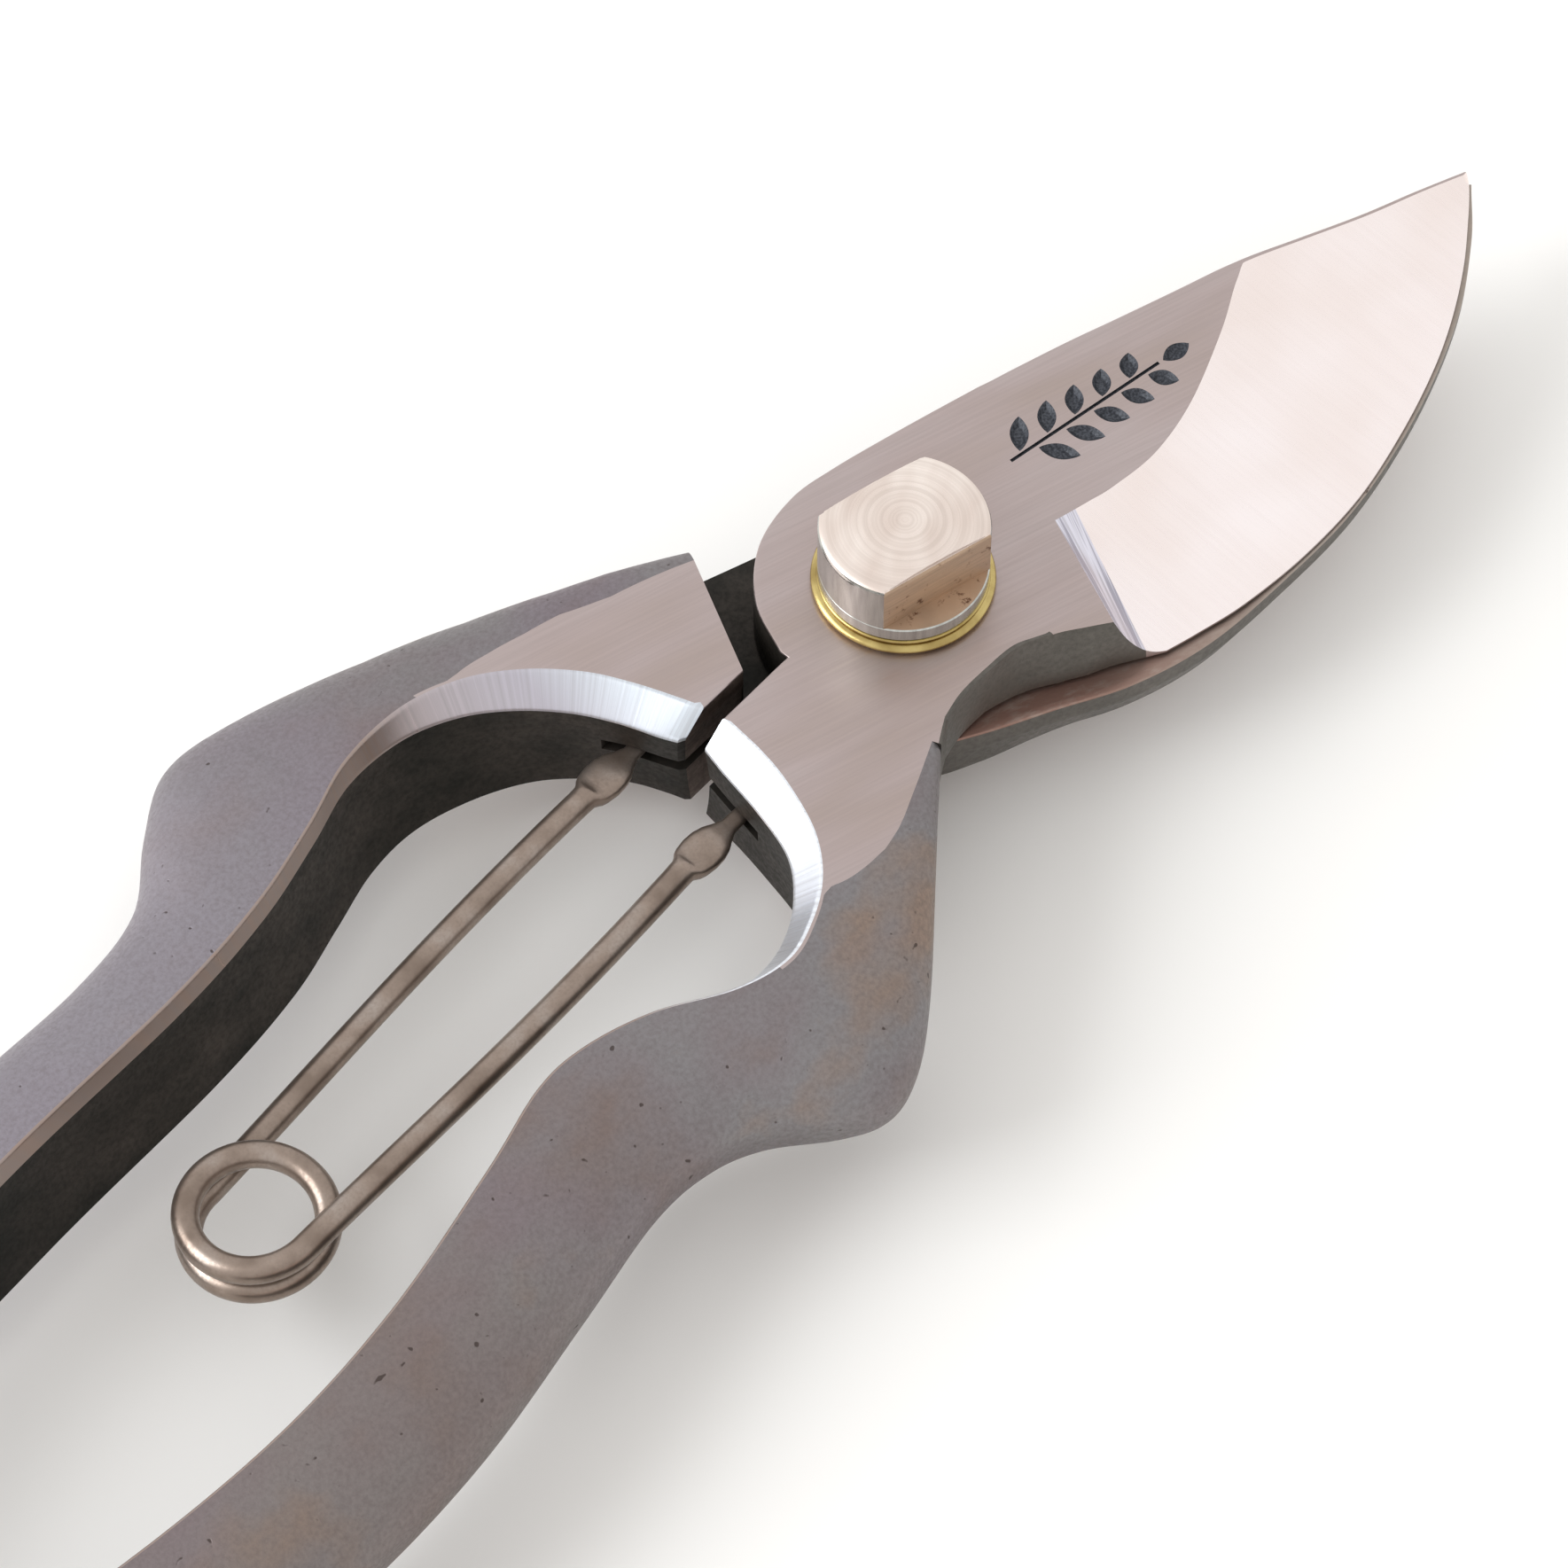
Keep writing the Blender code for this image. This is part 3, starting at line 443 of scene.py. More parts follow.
# %% Lines of the hook half's handle
ARCH, TAIL = -21.0, -133.5    # x where a share is 0 and where it is 1
HOOK_INNER_LINES = [  # lip share, lip y, foot share, foot y, sill share, sill y
    (-0.012, 3.0, 0.008, 3.0, 0.004, 3.0), (-0.006, 5.4, 0.018, 5.4, 0.010, 5.4),
    (0.006, 9.4, 0.029, 9.0, 0.022, 8.7), (0.022, 13.2, 0.045, 12.6, 0.042, 11.8),
    (0.050, 17.2, 0.070, 16.2, 0.070, 14.8), (0.085, 20.2, 0.100, 19.0, 0.110, 17.2),
    (0.130, 21.9, 0.140, 20.9, 0.155, 18.6), (0.185, 21.8, 0.190, 21.2, 0.200, 18.4),
    (0.240, 19.9, 0.243, 19.5, 0.250, 16.9), (0.310, 18.0, 0.310, 17.7, 0.310, 15.2),
    (0.400, 17.0, 0.400, 16.7, 0.400, 14.2), (0.560, 16.8, 0.560, 16.5, 0.560, 13.8),
    (0.720, 15.4, 0.720, 15.1, 0.720, 12.5), (0.880, 11.8, 0.880, 11.5, 0.880, 9.0),
    (1.060, 7.0, 1.060, 6.7, 1.060, 4.4)]
HOOK_OUTER = [(-0.15, 12.2), (-0.09, 17.0), (-0.03, 21.2), (0.06, 27.2), (0.15, 31.6), (0.22, 34.0),
              (0.265, 34.1), (0.31, 31.0), (0.36, 26.7), (0.43, 25.3), (0.53, 25.5), (0.66, 25.3),
              (0.80, 23.0), (0.92, 18.6), (1.02, 14.0)]
HOOK_FAN = [(-0.012, -0.058), (-0.006, -0.036), (0.006, -0.006), (0.022, 0.024), (0.050, 0.062),
            (0.085, 0.101), (0.130, 0.142), (0.185, 0.189), (0.240, 0.242), (1.1, 1.1)]
HOOK_BORDER = [(-0.012, 0.80), (-0.006, 0.76), (0.006, 0.68), (0.022, 0.52), (0.050, 0.30), (0.080, 0.10),
               (0.100, 0.0), (1.1, 0.0)]

# %% Lines of the blade half's handle
BLADE_INNER_LINES = [
    (-0.014, 3.0, 0.006, 3.0, 0.006, 3.0), (-0.010, -2.0, 0.013, -1.0, 0.011, -1.2),
    (0.000, -6.2, 0.021, -5.0, 0.019, -5.6), (0.016, -10.2, 0.034, -9.2, 0.030, -10.2),
    (0.040, -13.3, 0.056, -12.0, 0.048, -13.8), (0.070, -15.2, 0.082, -13.8, 0.074, -16.2),
    (0.104, -16.1, 0.112, -14.6, 0.108, -17.6), (0.145, -14.8, 0.150, -13.9, 0.148, -17.0),
    (0.195, -11.4, 0.198, -11.0, 0.200, -14.1), (0.245, -9.5, 0.247, -9.2, 0.250, -12.3),
    (0.290, -9.3, 0.292, -9.0, 0.295, -12.2), (0.360, -11.2, 0.362, -10.9, 0.364, -14.0),
    (0.480, -13.8, 0.482, -13.5, 0.484, -16.6), (0.600, -14.5, 0.602, -14.2, 0.604, -17.2),
    (0.740, -12.9, 0.742, -12.6, 0.744, -15.5), (0.880, -9.6, 0.882, -9.3, 0.884, -12.0),
    (1.060, -5.2, 1.060, -4.9, 1.060, -7.4)]
BLADE_OUTER = [(-0.15, -10.4), (-0.12, -10.9), (-0.09, -13.1), (-0.035, -18.0), (0.04, -24.6),
               (0.09, -28.1), (0.125, -29.0), (0.155, -27.4), (0.195, -23.6), (0.235, -21.6), (0.29, -21.2),
               (0.38, -22.9), (0.50, -25.0), (0.62, -25.3), (0.76, -23.6), (0.90, -19.4), (1.02, -14.8)]
BLADE_FAN = [(-0.014, -0.058), (-0.010, -0.034), (0.000, -0.011), (0.016, 0.013), (0.040, 0.044),
             (0.070, 0.078), (0.104, 0.107), (0.145, 0.145), (1.1, 1.1)]
BLADE_BORDER = [(-0.014, 0.88), (-0.010, 0.80), (0.000, 0.66), (0.016, 0.42), (0.040, 0.10), (0.055, 0.0),
                (1.1, 0.0)]

# %% [markdown]
# ### Stations of a handle
# Stations crowd where the shape turns fast: round the arch and at the rounded tail.  Between the
# arch and the palm side they fan out, because the outer line is much longer than the inner one.


# %% Work out the stations
LINE_STEPS = 24       # points between two rows of a line
TAIL_ROUND = 4.6      # length of the rounded tail
HALF_DEPTH = 5.6      # from the middle of a handle to its top or underside


def handle_stations(inner_lines, outer_line, fan, border):
    """Columns of plan points and section values for one handle, from its tail to the arch.
    At the tail the width shrinks like a half circle."""
    inner, outer = fair(inner_lines, LINE_STEPS), fair(outer_line, LINE_STEPS)
    half_width = TAIL_ROUND / (ARCH - TAIL)
    ends = 1.0 - half_width * (1.0 - np.cos(np.linspace(0.0, math.pi / 2, 14)))
    share = np.concatenate([ends, np.linspace(ends[-1], 0.30, 90)[1:],
                            np.linspace(0.30, inner[0, 0], 110)[1:]])
    column = lambda k: np.interp(share, inner[:, 0], inner[:, k])
    x = lambda s: ARCH + s * (TAIL - ARCH)
    out_share = np.interp(share, *np.transpose(fan))
    lip = np.column_stack([x(share), column(1)])
    foot = np.column_stack([x(np.minimum(column(2), 1.0)), column(3)])
    sill = np.column_stack([x(np.minimum(column(4), 1.0)), column(5)])
    out = np.column_stack([x(out_share), np.interp(out_share, outer[:, 0], outer[:, 1])])
    past = ((share - (1.0 - half_width)) / half_width).clip(0)
    narrow = np.sqrt(np.clip(1.0 - past**2, 0.004, 1))[:, None]
    centre = 0.5 * (0.5 * (lip + sill) + out)
    lip, foot, sill, out = (np.column_stack([p[:, :1], (centre + (p - centre) * narrow)[:, 1:]])
                            for p in (lip, foot, sill, out))
    turn = np.interp(share, *np.transpose(border))
    flat = np.interp(share, [0.09, 0.22], [1.0, 0.0])
    power = np.interp(share, [-0.014, 0.0, 0.03, 0.09], [0.13, 0.22, 0.36, 0.43])
    low_power = np.interp(share, [-0.014, 0.02, 0.09], [0.16, 0.30, 0.43])
    squeeze = 0.55 + 0.45 * narrow[:, 0]
    top = HANDLE_MID + (HALF_DEPTH + 0.2 * flat) * squeeze
    low = HANDLE_MID - (HALF_DEPTH + 0.1 * flat) * squeeze
    proud = 0.3 * flat
    mid = np.full(len(share), HANDLE_MID)
    return np.column_stack([lip, foot, sill, out, turn, power, low_power, proud, top, mid, low])


# %% Stations of a plate
def plate_stations(rows, steps):
    """Rows of (inner x, inner y, outer x, outer y, border share, 1 / power, top, mid, low), made
    smooth.  The inner wall of a plate is upright, so lip, foot and sill share one place."""
    r = fair(rows, steps)
    low_power = np.full(len(r), 0.08)
    return np.column_stack([r[:, :2], r[:, :2], r[:, :2], r[:, 2:4], r[:, 4], r[:, 5], low_power,
                            np.zeros(len(r)), r[:, 6:]])


# %% [markdown]
# ### The section
# Going round a section: the flat top, the bevel under the lip, the hollow inner wall, the flat
# underside, and the outer side.  The outer side is two quarter superellipses, where the power sets
# how square the corner is: 1 is a straight bevel, 2 an ellipse, 12 nearly a right angle.  Stations
# hold one divided by the power, which changes evenly from a bevel to a square corner.
# Every arris gets a small round, because a perfectly sharp edge never catches the light.

# %% Rounds and straight runs
ROUND = 0.20


def arris(before, corner, after, radius, count=4):
    """A small curve in place of a corner: the parabola that touches both neighbouring sides."""
    one = corner + (before - corner) / np.linalg.norm(before - corner, axis=1)[:, None] * radius
    two = corner + (after - corner) / np.linalg.norm(after - corner, axis=1)[:, None] * radius
    t = np.linspace(0.0, 1.0, count)[None, :, None]
    return one[:, None] * (1 - t) ** 2 + 2 * corner[:, None] * t * (1 - t) + two[:, None] * t**2


def run(start, end, shares):
    """Points on the straight line from start to end."""
    t = np.asarray(shares)[None, :, None]
    return start[:, None] * (1 - t) + end[:, None] * t


# %% Sections over all stations at once
TOP, ARRIS, BEVEL, WALL, UNDER, LOWER, UPPER = range(7)


def sections(st, lean):
    """Closed sections on stations: straight and parabolic runs for the top, the inner wall and the
    underside, and superellipse quarters for the outer side.  Lean is how far the outer side's foot
    stands out past its top.  Gives the grid and each column's part."""
    lip, foot, sill, out = st[:, 0:2], st[:, 2:4], st[:, 4:6], st[:, 6:8]
    turn, power, low_power, proud, top, mid, low = st[:, 8:].T
    width = np.linalg.norm(out - lip, axis=1)
    height = top - low
    small = np.minimum(np.minimum(ROUND, 0.12 * height), 0.15 * width)[:, None]
    turn = np.clip(turn, np.minimum(0.5 / width, 0.5), 0.99)
    up = lambda plan, z: np.column_stack([plan, z])
    across = lambda share, z: np.concatenate([lip[:, None] + (out - lip)[:, None] * share[..., None],
                                              z[..., None]], axis=2)
    p, pl = 1.0 / power, 1.0 / low_power
    peak = top + proud
    first = np.clip(1.0 - ((top - mid) / (peak - mid)) ** p, 0, 1) ** (1 / p)
    start = (turn - first) / (1.0 - first)
    from_angle = np.arcsin(first ** (p / 2))[:, None]
    angle = from_angle + (math.pi / 2 - from_angle) * np.linspace(1.0, 0.0, 18)[None]
    upper = across(start[:, None] + (1 - start)[:, None] * np.sin(angle) ** (2 / p)[:, None],
                   mid[:, None] + (peak - mid)[:, None] * np.cos(angle).clip(0) ** (2 / p)[:, None])
    begin = np.interp(low_power, [0.08, 0.45], [0.95, 0.25])
    angle = np.linspace(0.0, math.pi / 2, 14)[None]
    drop = np.cos(angle).clip(0) ** (2 / pl)[:, None]
    aside = begin[:, None] + (1 - begin)[:, None] * np.sin(angle) ** (2 / pl)[:, None]
    lower = across(aside * (1 + (lean / width)[:, None] * drop), mid[:, None] - (mid - low)[:, None] * drop)
    lip3, foot3, sill3 = up(lip, top), up(foot, top - np.minimum(2.0, 0.4 * height)), up(sill, low)
    deep = np.where(height > 8.0, 0.7, 0.0)[:, None]
    hollow = 0.5 * (foot3 + sill3) + up((out - lip) / width[:, None] * deep, 0 * top)
    border = upper[:, -1]
    lip_arris = arris(border, lip3, foot3, small)
    foot_arris = arris(lip3, foot3, hollow, small)
    sill_arris = arris(hollow, sill3, lower[:, 0], small)
    t = np.linspace(0.04, 0.96, 8)[None, :, None]
    inner = foot_arris[:, -1:] * (1 - t) ** 2 + 2 * hollow[:, None] * t * (1 - t) + sill_arris[:, :1] * t**2
    blocks = [(TOP, run(border, lip_arris[:, 0], (0.02, 0.2, 0.4, 0.6, 0.8, 0.97))), (ARRIS, lip_arris),
              (BEVEL, run(lip_arris[:, -1], foot_arris[:, 0], (0.08, 0.92))), (BEVEL, foot_arris),
              (WALL, inner), (WALL, sill_arris),
              (UNDER, run(sill_arris[:, -1], lower[:, 0], (0.03, 0.35, 0.7, 0.97))),
              (LOWER, lower), (UPPER, upper[:, 1:])]
    parts = np.concatenate([np.full(b.shape[1], k) for k, b in blocks])
    return np.concatenate([b for k, b in blocks], axis=1), np.roll(parts, -1)


# %% [markdown]
# ### The hook half
# Behind the bolt this half is the full-depth upper handle.  At the shoulder its top drops to half
# the thickness, and the lower plate goes on under the blade, round the bolt and out to the hook.

# %% Stations of the stop
SEAM, SLIT_HALF = 3.0, 0.9                   # y where the halves part, and half the slit
INNER_X, INNER_Y = slice(0, 6, 2), slice(1, 6, 2)
OUT_X, OUT_Y, TURN, POWER, PEAK_Z = 6, 7, 8, 9, 12   # columns of a station
STOP_SHARE = np.linspace(0.0, 1.0, 10)


def stop_stations(arch, parting, inner_end, outer_end, outer_line):
    """The short stretch past the arch where the halves face each other.  The inner lines run along
    the parting up to one x, while the palm side's point slides along its line up to another."""
    stop = np.repeat(arch[-1:], len(STOP_SHARE), 0)
    stop[:, INNER_X] = (arch[-1, 0] + (inner_end - arch[-1, 0]) * STOP_SHARE)[:, None]
    stop[:, INNER_Y] = parting
    stop[:, OUT_X] = arch[-1, OUT_X] + (outer_end - arch[-1, OUT_X]) * STOP_SHARE
    curve = fair(outer_line, LINE_STEPS)
    stop[:, OUT_Y] = np.interp(-stop[:, OUT_X], -(ARCH + curve[:, 0] * (TAIL - ARCH)), curve[:, 1])
    return stop


# %% Stations of the hook half
arch = handle_stations(HOOK_INNER_LINES, HOOK_OUTER, HOOK_FAN, HOOK_BORDER)
parting = SEAM + SLIT_HALF
near_stop = arch[:, :1] > -24.0
arch[:, INNER_Y] = np.maximum(arch[:, INNER_Y], np.where(near_stop, parting, -np.inf))
stop = stop_stations(arch, parting, -15.0, -8.7, HOOK_OUTER)
stop[:, TURN] = 0.80 + 0.06 * STOP_SHARE
hook_plate = [  # inner side faces the hook's back, outer side its hollow edge
    (-15.0, parting, -8.7, stop[-1, OUT_Y], 0.98, 0.08, HOOK_TOP, 8.1, HOOK_LOW),
    (-12.9, 0.8, -2.9, 13.4, 0.98, 0.08, HOOK_TOP, 8.1, HOOK_LOW),
    (-11.0, -4.8, 1.5, 11.9, 0.98, 0.08, HOOK_TOP, 8.1, HOOK_LOW),
    (-8.2, -8.6, 6.9, 9.8, 0.98, 0.08, HOOK_TOP, 8.1, HOOK_LOW),
    (-3.8, -11.6, 10.6, 5.7, 0.98, 0.08, HOOK_TOP, 8.1, HOOK_LOW),
    (1.9, -14.6, 12.0, 0.2, 0.98, 0.08, HOOK_TOP, 8.1, HOOK_LOW),
    (7.9, -17.8, 13.2, -4.0, 0.98, 0.08, HOOK_TOP, 8.1, HOOK_LOW),
    (14.9, -19.9, 16.5, -7.4, 0.98, 0.08, HOOK_TOP, 8.1, HOOK_LOW + 0.1),
    (23.1, -20.6, 23.5, -11.5, 0.97, 0.08, HOOK_TOP, 8.2, HOOK_LOW + 0.5),
    (33.0, -20.6, 33.2, -13.2, 0.96, 0.08, HOOK_TOP, 8.4, HOOK_LOW + 0.9),
    (43.6, -18.7, 42.6, -12.7, 0.94, 0.08, HOOK_TOP, 8.7, HOOK_LOW + 1.4),
    (53.8, -15.3, 51.9, -10.6, 0.92, 0.08, HOOK_TOP, 9.0, HOOK_LOW + 1.8),
    (61.4, -11.1, 59.9, -8.4, 0.88, 0.08, HOOK_TOP, 9.2, HOOK_LOW + 2.1),
    (66.4, -7.3, 65.5, -6.7, 0.70, 0.20, HOOK_TOP, 9.3, HOOK_LOW + 2.2)]
plate = plate_stations(hook_plate, 10)
undercut = np.interp(plate[:, 0], [-9.0, -6.0, -3.0, 0.0, 4.0, 40.0, 60.0],
                     [0.0, 0.15, 0.5, 0.9, 1.25, 1.0, 0.2])[:, None]
inward = plate[:, 6:8] - plate[:, 0:2]
plate[:, 4:6] += inward / np.linalg.norm(inward, axis=1)[:, None] * undercut   # the sill steps in
hook_stations = np.vstack([arch, stop, plate])
print("hook half:", len(hook_stations), "stations")


# %% Say which finish each face of a half gets
HALF_FINISHES = [forged, brushed, bevelled, scale_wall, neck_wall, honed, rusty, stained, plunged]
ZONES = {  # top, arris, bevel, wall, under, lower, upper
    "handle": (forged, bevelled, bevelled, scale_wall, forged, forged, forged),
    "arch": (brushed, bevelled, bevelled, scale_wall, brushed, forged, forged),
    "stop": (brushed, brushed, rusty, rusty, brushed, forged, forged),
    # The lap under the blade takes the dark wall finish on all but its underside: partly its own blackened
    # scale, partly painted shade.
    "lap": (scale_wall, scale_wall, scale_wall, scale_wall, brushed, scale_wall, scale_wall),
    "hook": (stained, stained, neck_wall, neck_wall, brushed, scale_wall, scale_wall),
    "neck": (brushed, brushed, scale_wall, scale_wall, brushed, neck_wall, neck_wall),
    "heel": (brushed, brushed, scale_wall, scale_wall, brushed, neck_wall, brushed),
    "plunge": (brushed, brushed, brushed, brushed, brushed, neck_wall, plunged),
    "blade": (brushed, brushed, brushed, brushed, brushed, brushed, honed)}
BEVEL_FROM = -34.0    # x where the handle's forged flat gives way to the ground arch
LAP_COUNT, HEEL_COUNT, PLUNGE_COUNT = 31, 16, 11


def finish_index(stations, parts, zones):
    """Index of the finish on each face: the table of zones, looked up with the zone of each station
    and the part of each column."""
    zone = np.concatenate([np.full(count, list(ZONES).index(name)) for name, count in zones])
    table = np.array([[HALF_FINISHES.index(mat) for mat in row] for row in ZONES.values()])
    return table[zone[: len(stations) - 1, None], parts[None, :]]


n_handle = int((arch[:, 0] < BEVEL_FROM).sum())
grid, parts = sections(hook_stations, np.zeros(len(hook_stations)))
zones = [("handle", n_handle), ("arch", len(arch) - n_handle - 1), ("stop", len(stop)),
         ("lap", LAP_COUNT), ("hook", len(plate))]
hook = skin("hook_forging", grid, HALF_FINISHES, finish_index(hook_stations, parts, zones))

# %% [markdown]
# ### The blade half
# The same idea the other way up.  Past the neck the section changes from square to a long bevel:
# that jump is the plunge, where the wheel ran into the steel, and it is a steep hollow ramp.

# %% Stations of the blade half
arch = handle_stations(BLADE_INNER_LINES, BLADE_OUTER, BLADE_FAN, BLADE_BORDER)
parting = SEAM - SLIT_HALF
arch[:, INNER_Y] = np.minimum(arch[:, INNER_Y], parting)
stop = stop_stations(arch, parting, -15.3, -10.0, BLADE_OUTER)
stop[:, TURN] = 0.88 + 0.07 * STOP_SHARE
stop[:, POWER] = 0.13 - 0.05 * STOP_SHARE
EDGE = BLADE_LOW + 0.3    # height of the cutting edge
lap_rows = [(-15.3, parting, -10.0, stop[-1, OUT_Y], 0.985, 0.08, BLADE_TOP, 14.0, BLADE_LOW),
            (-13.5, parting, -8.9, -11.8, 0.985, 0.08, BLADE_TOP, 14.3, BLADE_LOW),
            (-11.7, parting, -7.8, -11.2, 0.985, 0.08, BLADE_TOP, 14.6, BLADE_LOW)]
boss_rows = [(-11.7, 2.9, -7.8, -11.2, 0.985, 0.08, BLADE_TOP, 14.6, BLADE_LOW),
             (-9.4, 7.5, -5.2, -10.75, 0.985, 0.08, BLADE_TOP, 15.3, BLADE_LOW),
             (-5.1, 10.9, -2.2, -10.8, 0.985, 0.08, BLADE_TOP, 16.0, BLADE_LOW),
             (0.0, 12.0, 1.0, -11.1, 0.985, 0.08, BLADE_TOP, 16.5, BLADE_LOW),
             (4.6, 11.4, 3.8, -12.4, 0.985, 0.10, BLADE_TOP, 17.0, BLADE_LOW),
             (11.6, 9.7, 6.0, -13.9, 0.90, 0.30, BLADE_TOP, 17.03, BLADE_LOW),
             (18.6, 7.8, 7.9, -15.3, 0.576, 1.0, BLADE_TOP, 17.04, BLADE_LOW)]
plunge = np.linspace(0.0, 1.0, 9)[:, None]
heel, past_heel = np.array([[18.6, 7.8, 7.9, -15.3]]), np.array([[19.8, 7.4, 11.8, -18.0]])
plunge_rows = np.hstack([heel * (1 - plunge) + past_heel * plunge,
                         0.576 - 0.036 * plunge, 1.0 + 0 * plunge, BLADE_TOP + 0 * plunge,
                         EDGE + (17.04 - EDGE) * (1 - plunge) ** 2.2, BLADE_LOW + 0 * plunge])
blade_rows = [(19.8, 7.4, 11.8, -18.0, 0.540, 1.0, BLADE_TOP, EDGE, BLADE_LOW),
              (22.2, 6.7, 14.7, -18.8, 0.535, 1.0, BLADE_TOP, EDGE, BLADE_LOW),
              (27.0, 5.2, 19.5, -19.9, 0.50, 1.0, BLADE_TOP, EDGE, BLADE_LOW),
              (31.5, 3.65, 26.5, -20.6, 0.405, 1.0, BLADE_TOP, EDGE, BLADE_LOW),
              (37.0, 1.8, 34.0, -20.4, 0.245, 1.0, BLADE_TOP, EDGE, BLADE_LOW),
              (41.0, 0.5, 41.5, -19.0, 0.097, 1.0, BLADE_TOP, EDGE, BLADE_LOW),
              (44.0, -0.6, 48.2, -17.1, 0.0, 1.0, BLADE_TOP - 0.1, EDGE, BLADE_LOW),
              (49.0, -2.1, 53.5, -15.0, 0.0, 1.0, 15.9, EDGE, BLADE_LOW),
              (55.0, -3.8, 58.5, -12.4, 0.0, 1.0, 14.5, EDGE, BLADE_LOW),
              (60.5, -5.05, 62.8, -9.6, 0.0, 1.0, 13.2, EDGE, BLADE_LOW),
              (64.3, -6.0, 65.3, -7.8, 0.0, 1.0, 12.3, EDGE, BLADE_LOW),
              (66.2, -6.5, 66.4, -6.8, 0.0, 1.0, 11.8, EDGE, BLADE_LOW)]
pieces_of_blade = [arch, stop, plate_stations(lap_rows, 3), plate_stations(boss_rows, 8),
                   plate_stations(plunge_rows, 2), plate_stations(blade_rows, 10)]
blade_stations = np.vstack(pieces_of_blade)
blade_stations[:, PEAK_Z] = np.minimum(blade_stations[:, PEAK_Z], BLADE_TOP)
n_handle = int((arch[:, 0] < BEVEL_FROM).sum())
counts = [len(p) for p in pieces_of_blade]
neck_lean = np.interp(blade_stations[:, OUT_X], [-2.2, 1.0, 3.8, 6.0, 7.9, 11.8],
                      [0.0, 0.8, 1.15, 0.9, 0.4, 0.0])
grid, parts = sections(blade_stations, neck_lean)
zones = [("handle", n_handle), ("arch", counts[0] - n_handle - 1), ("stop", counts[1]), ("lap", 1),
         ("neck", counts[2] + counts[3] - HEEL_COUNT - 1), ("heel", HEEL_COUNT),
         ("plunge", PLUNGE_COUNT), ("blade", counts[4] + counts[5] - PLUNGE_COUNT)]
blade = skin("blade_forging", grid, HALF_FINISHES, finish_index(blade_stations, parts, zones))
print("blade half:", len(blade_stations), "stations")

# %% [markdown]
# ### Holes and the spring's slot
# A loft can't have a hole across it, so holes are cut afterwards with closed cutters.  The cut is
# applied at once, and the walls it leaves take the cutter's own finish.


# %% Cutters
def upright(name, outline, low, high, mat):
    """A closed outline stood up between two heights."""
    flat = np.asarray(outline, float)
    grid = np.stack([np.column_stack([flat, np.full(len(flat), z)]) for z in (low, high)])
    return skin(name, grid, [mat])


def circle(radius, count=64, centre=(0.0, 0.0)):
    """Points on a circle: centre plus radius times cosine and sine."""
    turn = np.linspace(0.0, 2 * math.pi, count, endpoint=False)
    return np.column_stack([centre[0] + radius * np.cos(turn), centre[1] + radius * np.sin(turn)])


def carve(piece, tool):
    """Takes the tool's shape out of the piece for good."""
    cut = piece.modifiers.new("cut", "BOOLEAN")
    cut.operation, cut.solver, cut.object = "DIFFERENCE", "EXACT", tool
    cut.material_mode = "TRANSFER"
    graph = bpy.context.evaluated_depsgraph_get()
    mesh = bpy.data.meshes.new_from_object(piece.evaluated_get(graph), depsgraph=graph)
    piece.modifiers.clear()
    piece.data = mesh
    bpy.data.objects.remove(tool)


# %% Cut the bolt hole and the slot for the spring's tongues
SLOT_MOUTH, SLOT_FLOOR, SLOT_REACH, SLOT_HALF, SLOT_CHAMFER = -25.0, -18.4, 7.6, 0.7, 1.0
for half, side in ((hook, 1), (blade, -1)):
    carve(half, upright("hole", circle(BOLT_HOLE), -2.0, 30.0, scale_wall))
    slot = [(SLOT_MOUTH, SEAM - side), (SLOT_FLOOR, SEAM - side),
            (SLOT_FLOOR, SEAM + side * (SLOT_REACH - SLOT_CHAMFER)),
            (SLOT_FLOOR - SLOT_CHAMFER, SEAM + side * SLOT_REACH), (SLOT_MOUTH, SEAM + side * SLOT_REACH)]
    carve(half, upright("slot", slot, MATE - SLOT_HALF, MATE + SLOT_HALF, scale_wall))

# %% Level the pads for the catch
PAD = BLADE_TOP - 1.0
PAD_R, PIN_HOLE, PIN_DEPTH = 8.5, 1.8, 5.3
LEVER_PIVOT, STUD_PLACE = np.array([-124.5, 14.688]), np.array([-124.5, -13.658])
for half, centre in ((hook, LEVER_PIVOT), (blade, STUD_PLACE)):
    carve(half, upright("pad", circle(PAD_R, 96, centre), PAD, PAD + 8.0, brushed))
    carve(half, upright("blind_hole", circle(PIN_HOLE, 32, centre), PAD - PIN_DEPTH, PAD + 1.0, scale_wall))

# %% [markdown]
# ## A maker's leaf
# A smith stamps a mark beside the bolt.  This one is a plain sprig: a stem and pairs of leaves.
# Each leaf is the shape between two sine arcs, tapered with depth as a punch is, and cut into the
# flat.  The floor of the cut stays black, because a stone never reaches it.

# %% Ink in the mark
soot, tree, shader = finish("soot", 0.5, 0.3)
speck = noise(tree, place(tree, (5.0, 5.0, 5.0)), 2.0)
base = shades(tree, speck, [(0.35, (0.012, 0.014, 0.020)), (0.75, (0.075, 0.080, 0.095))])
coat(tree, shader, base, [(speck, 0.05)])

# %% Shape of the sprig
LEAVES, STEM_START, STEM_END = 5, np.array([14.6, 0.9]), np.array([30.2, -1.9])
LEAF_HALF, LEAF_CLEAR, DEPTH, FLOOR_SHARE = 0.78, 0.42, 0.35, 0.55
STEM_HALF, STEM_DEPTH, ABOVE = 0.19, 0.25, 0.5


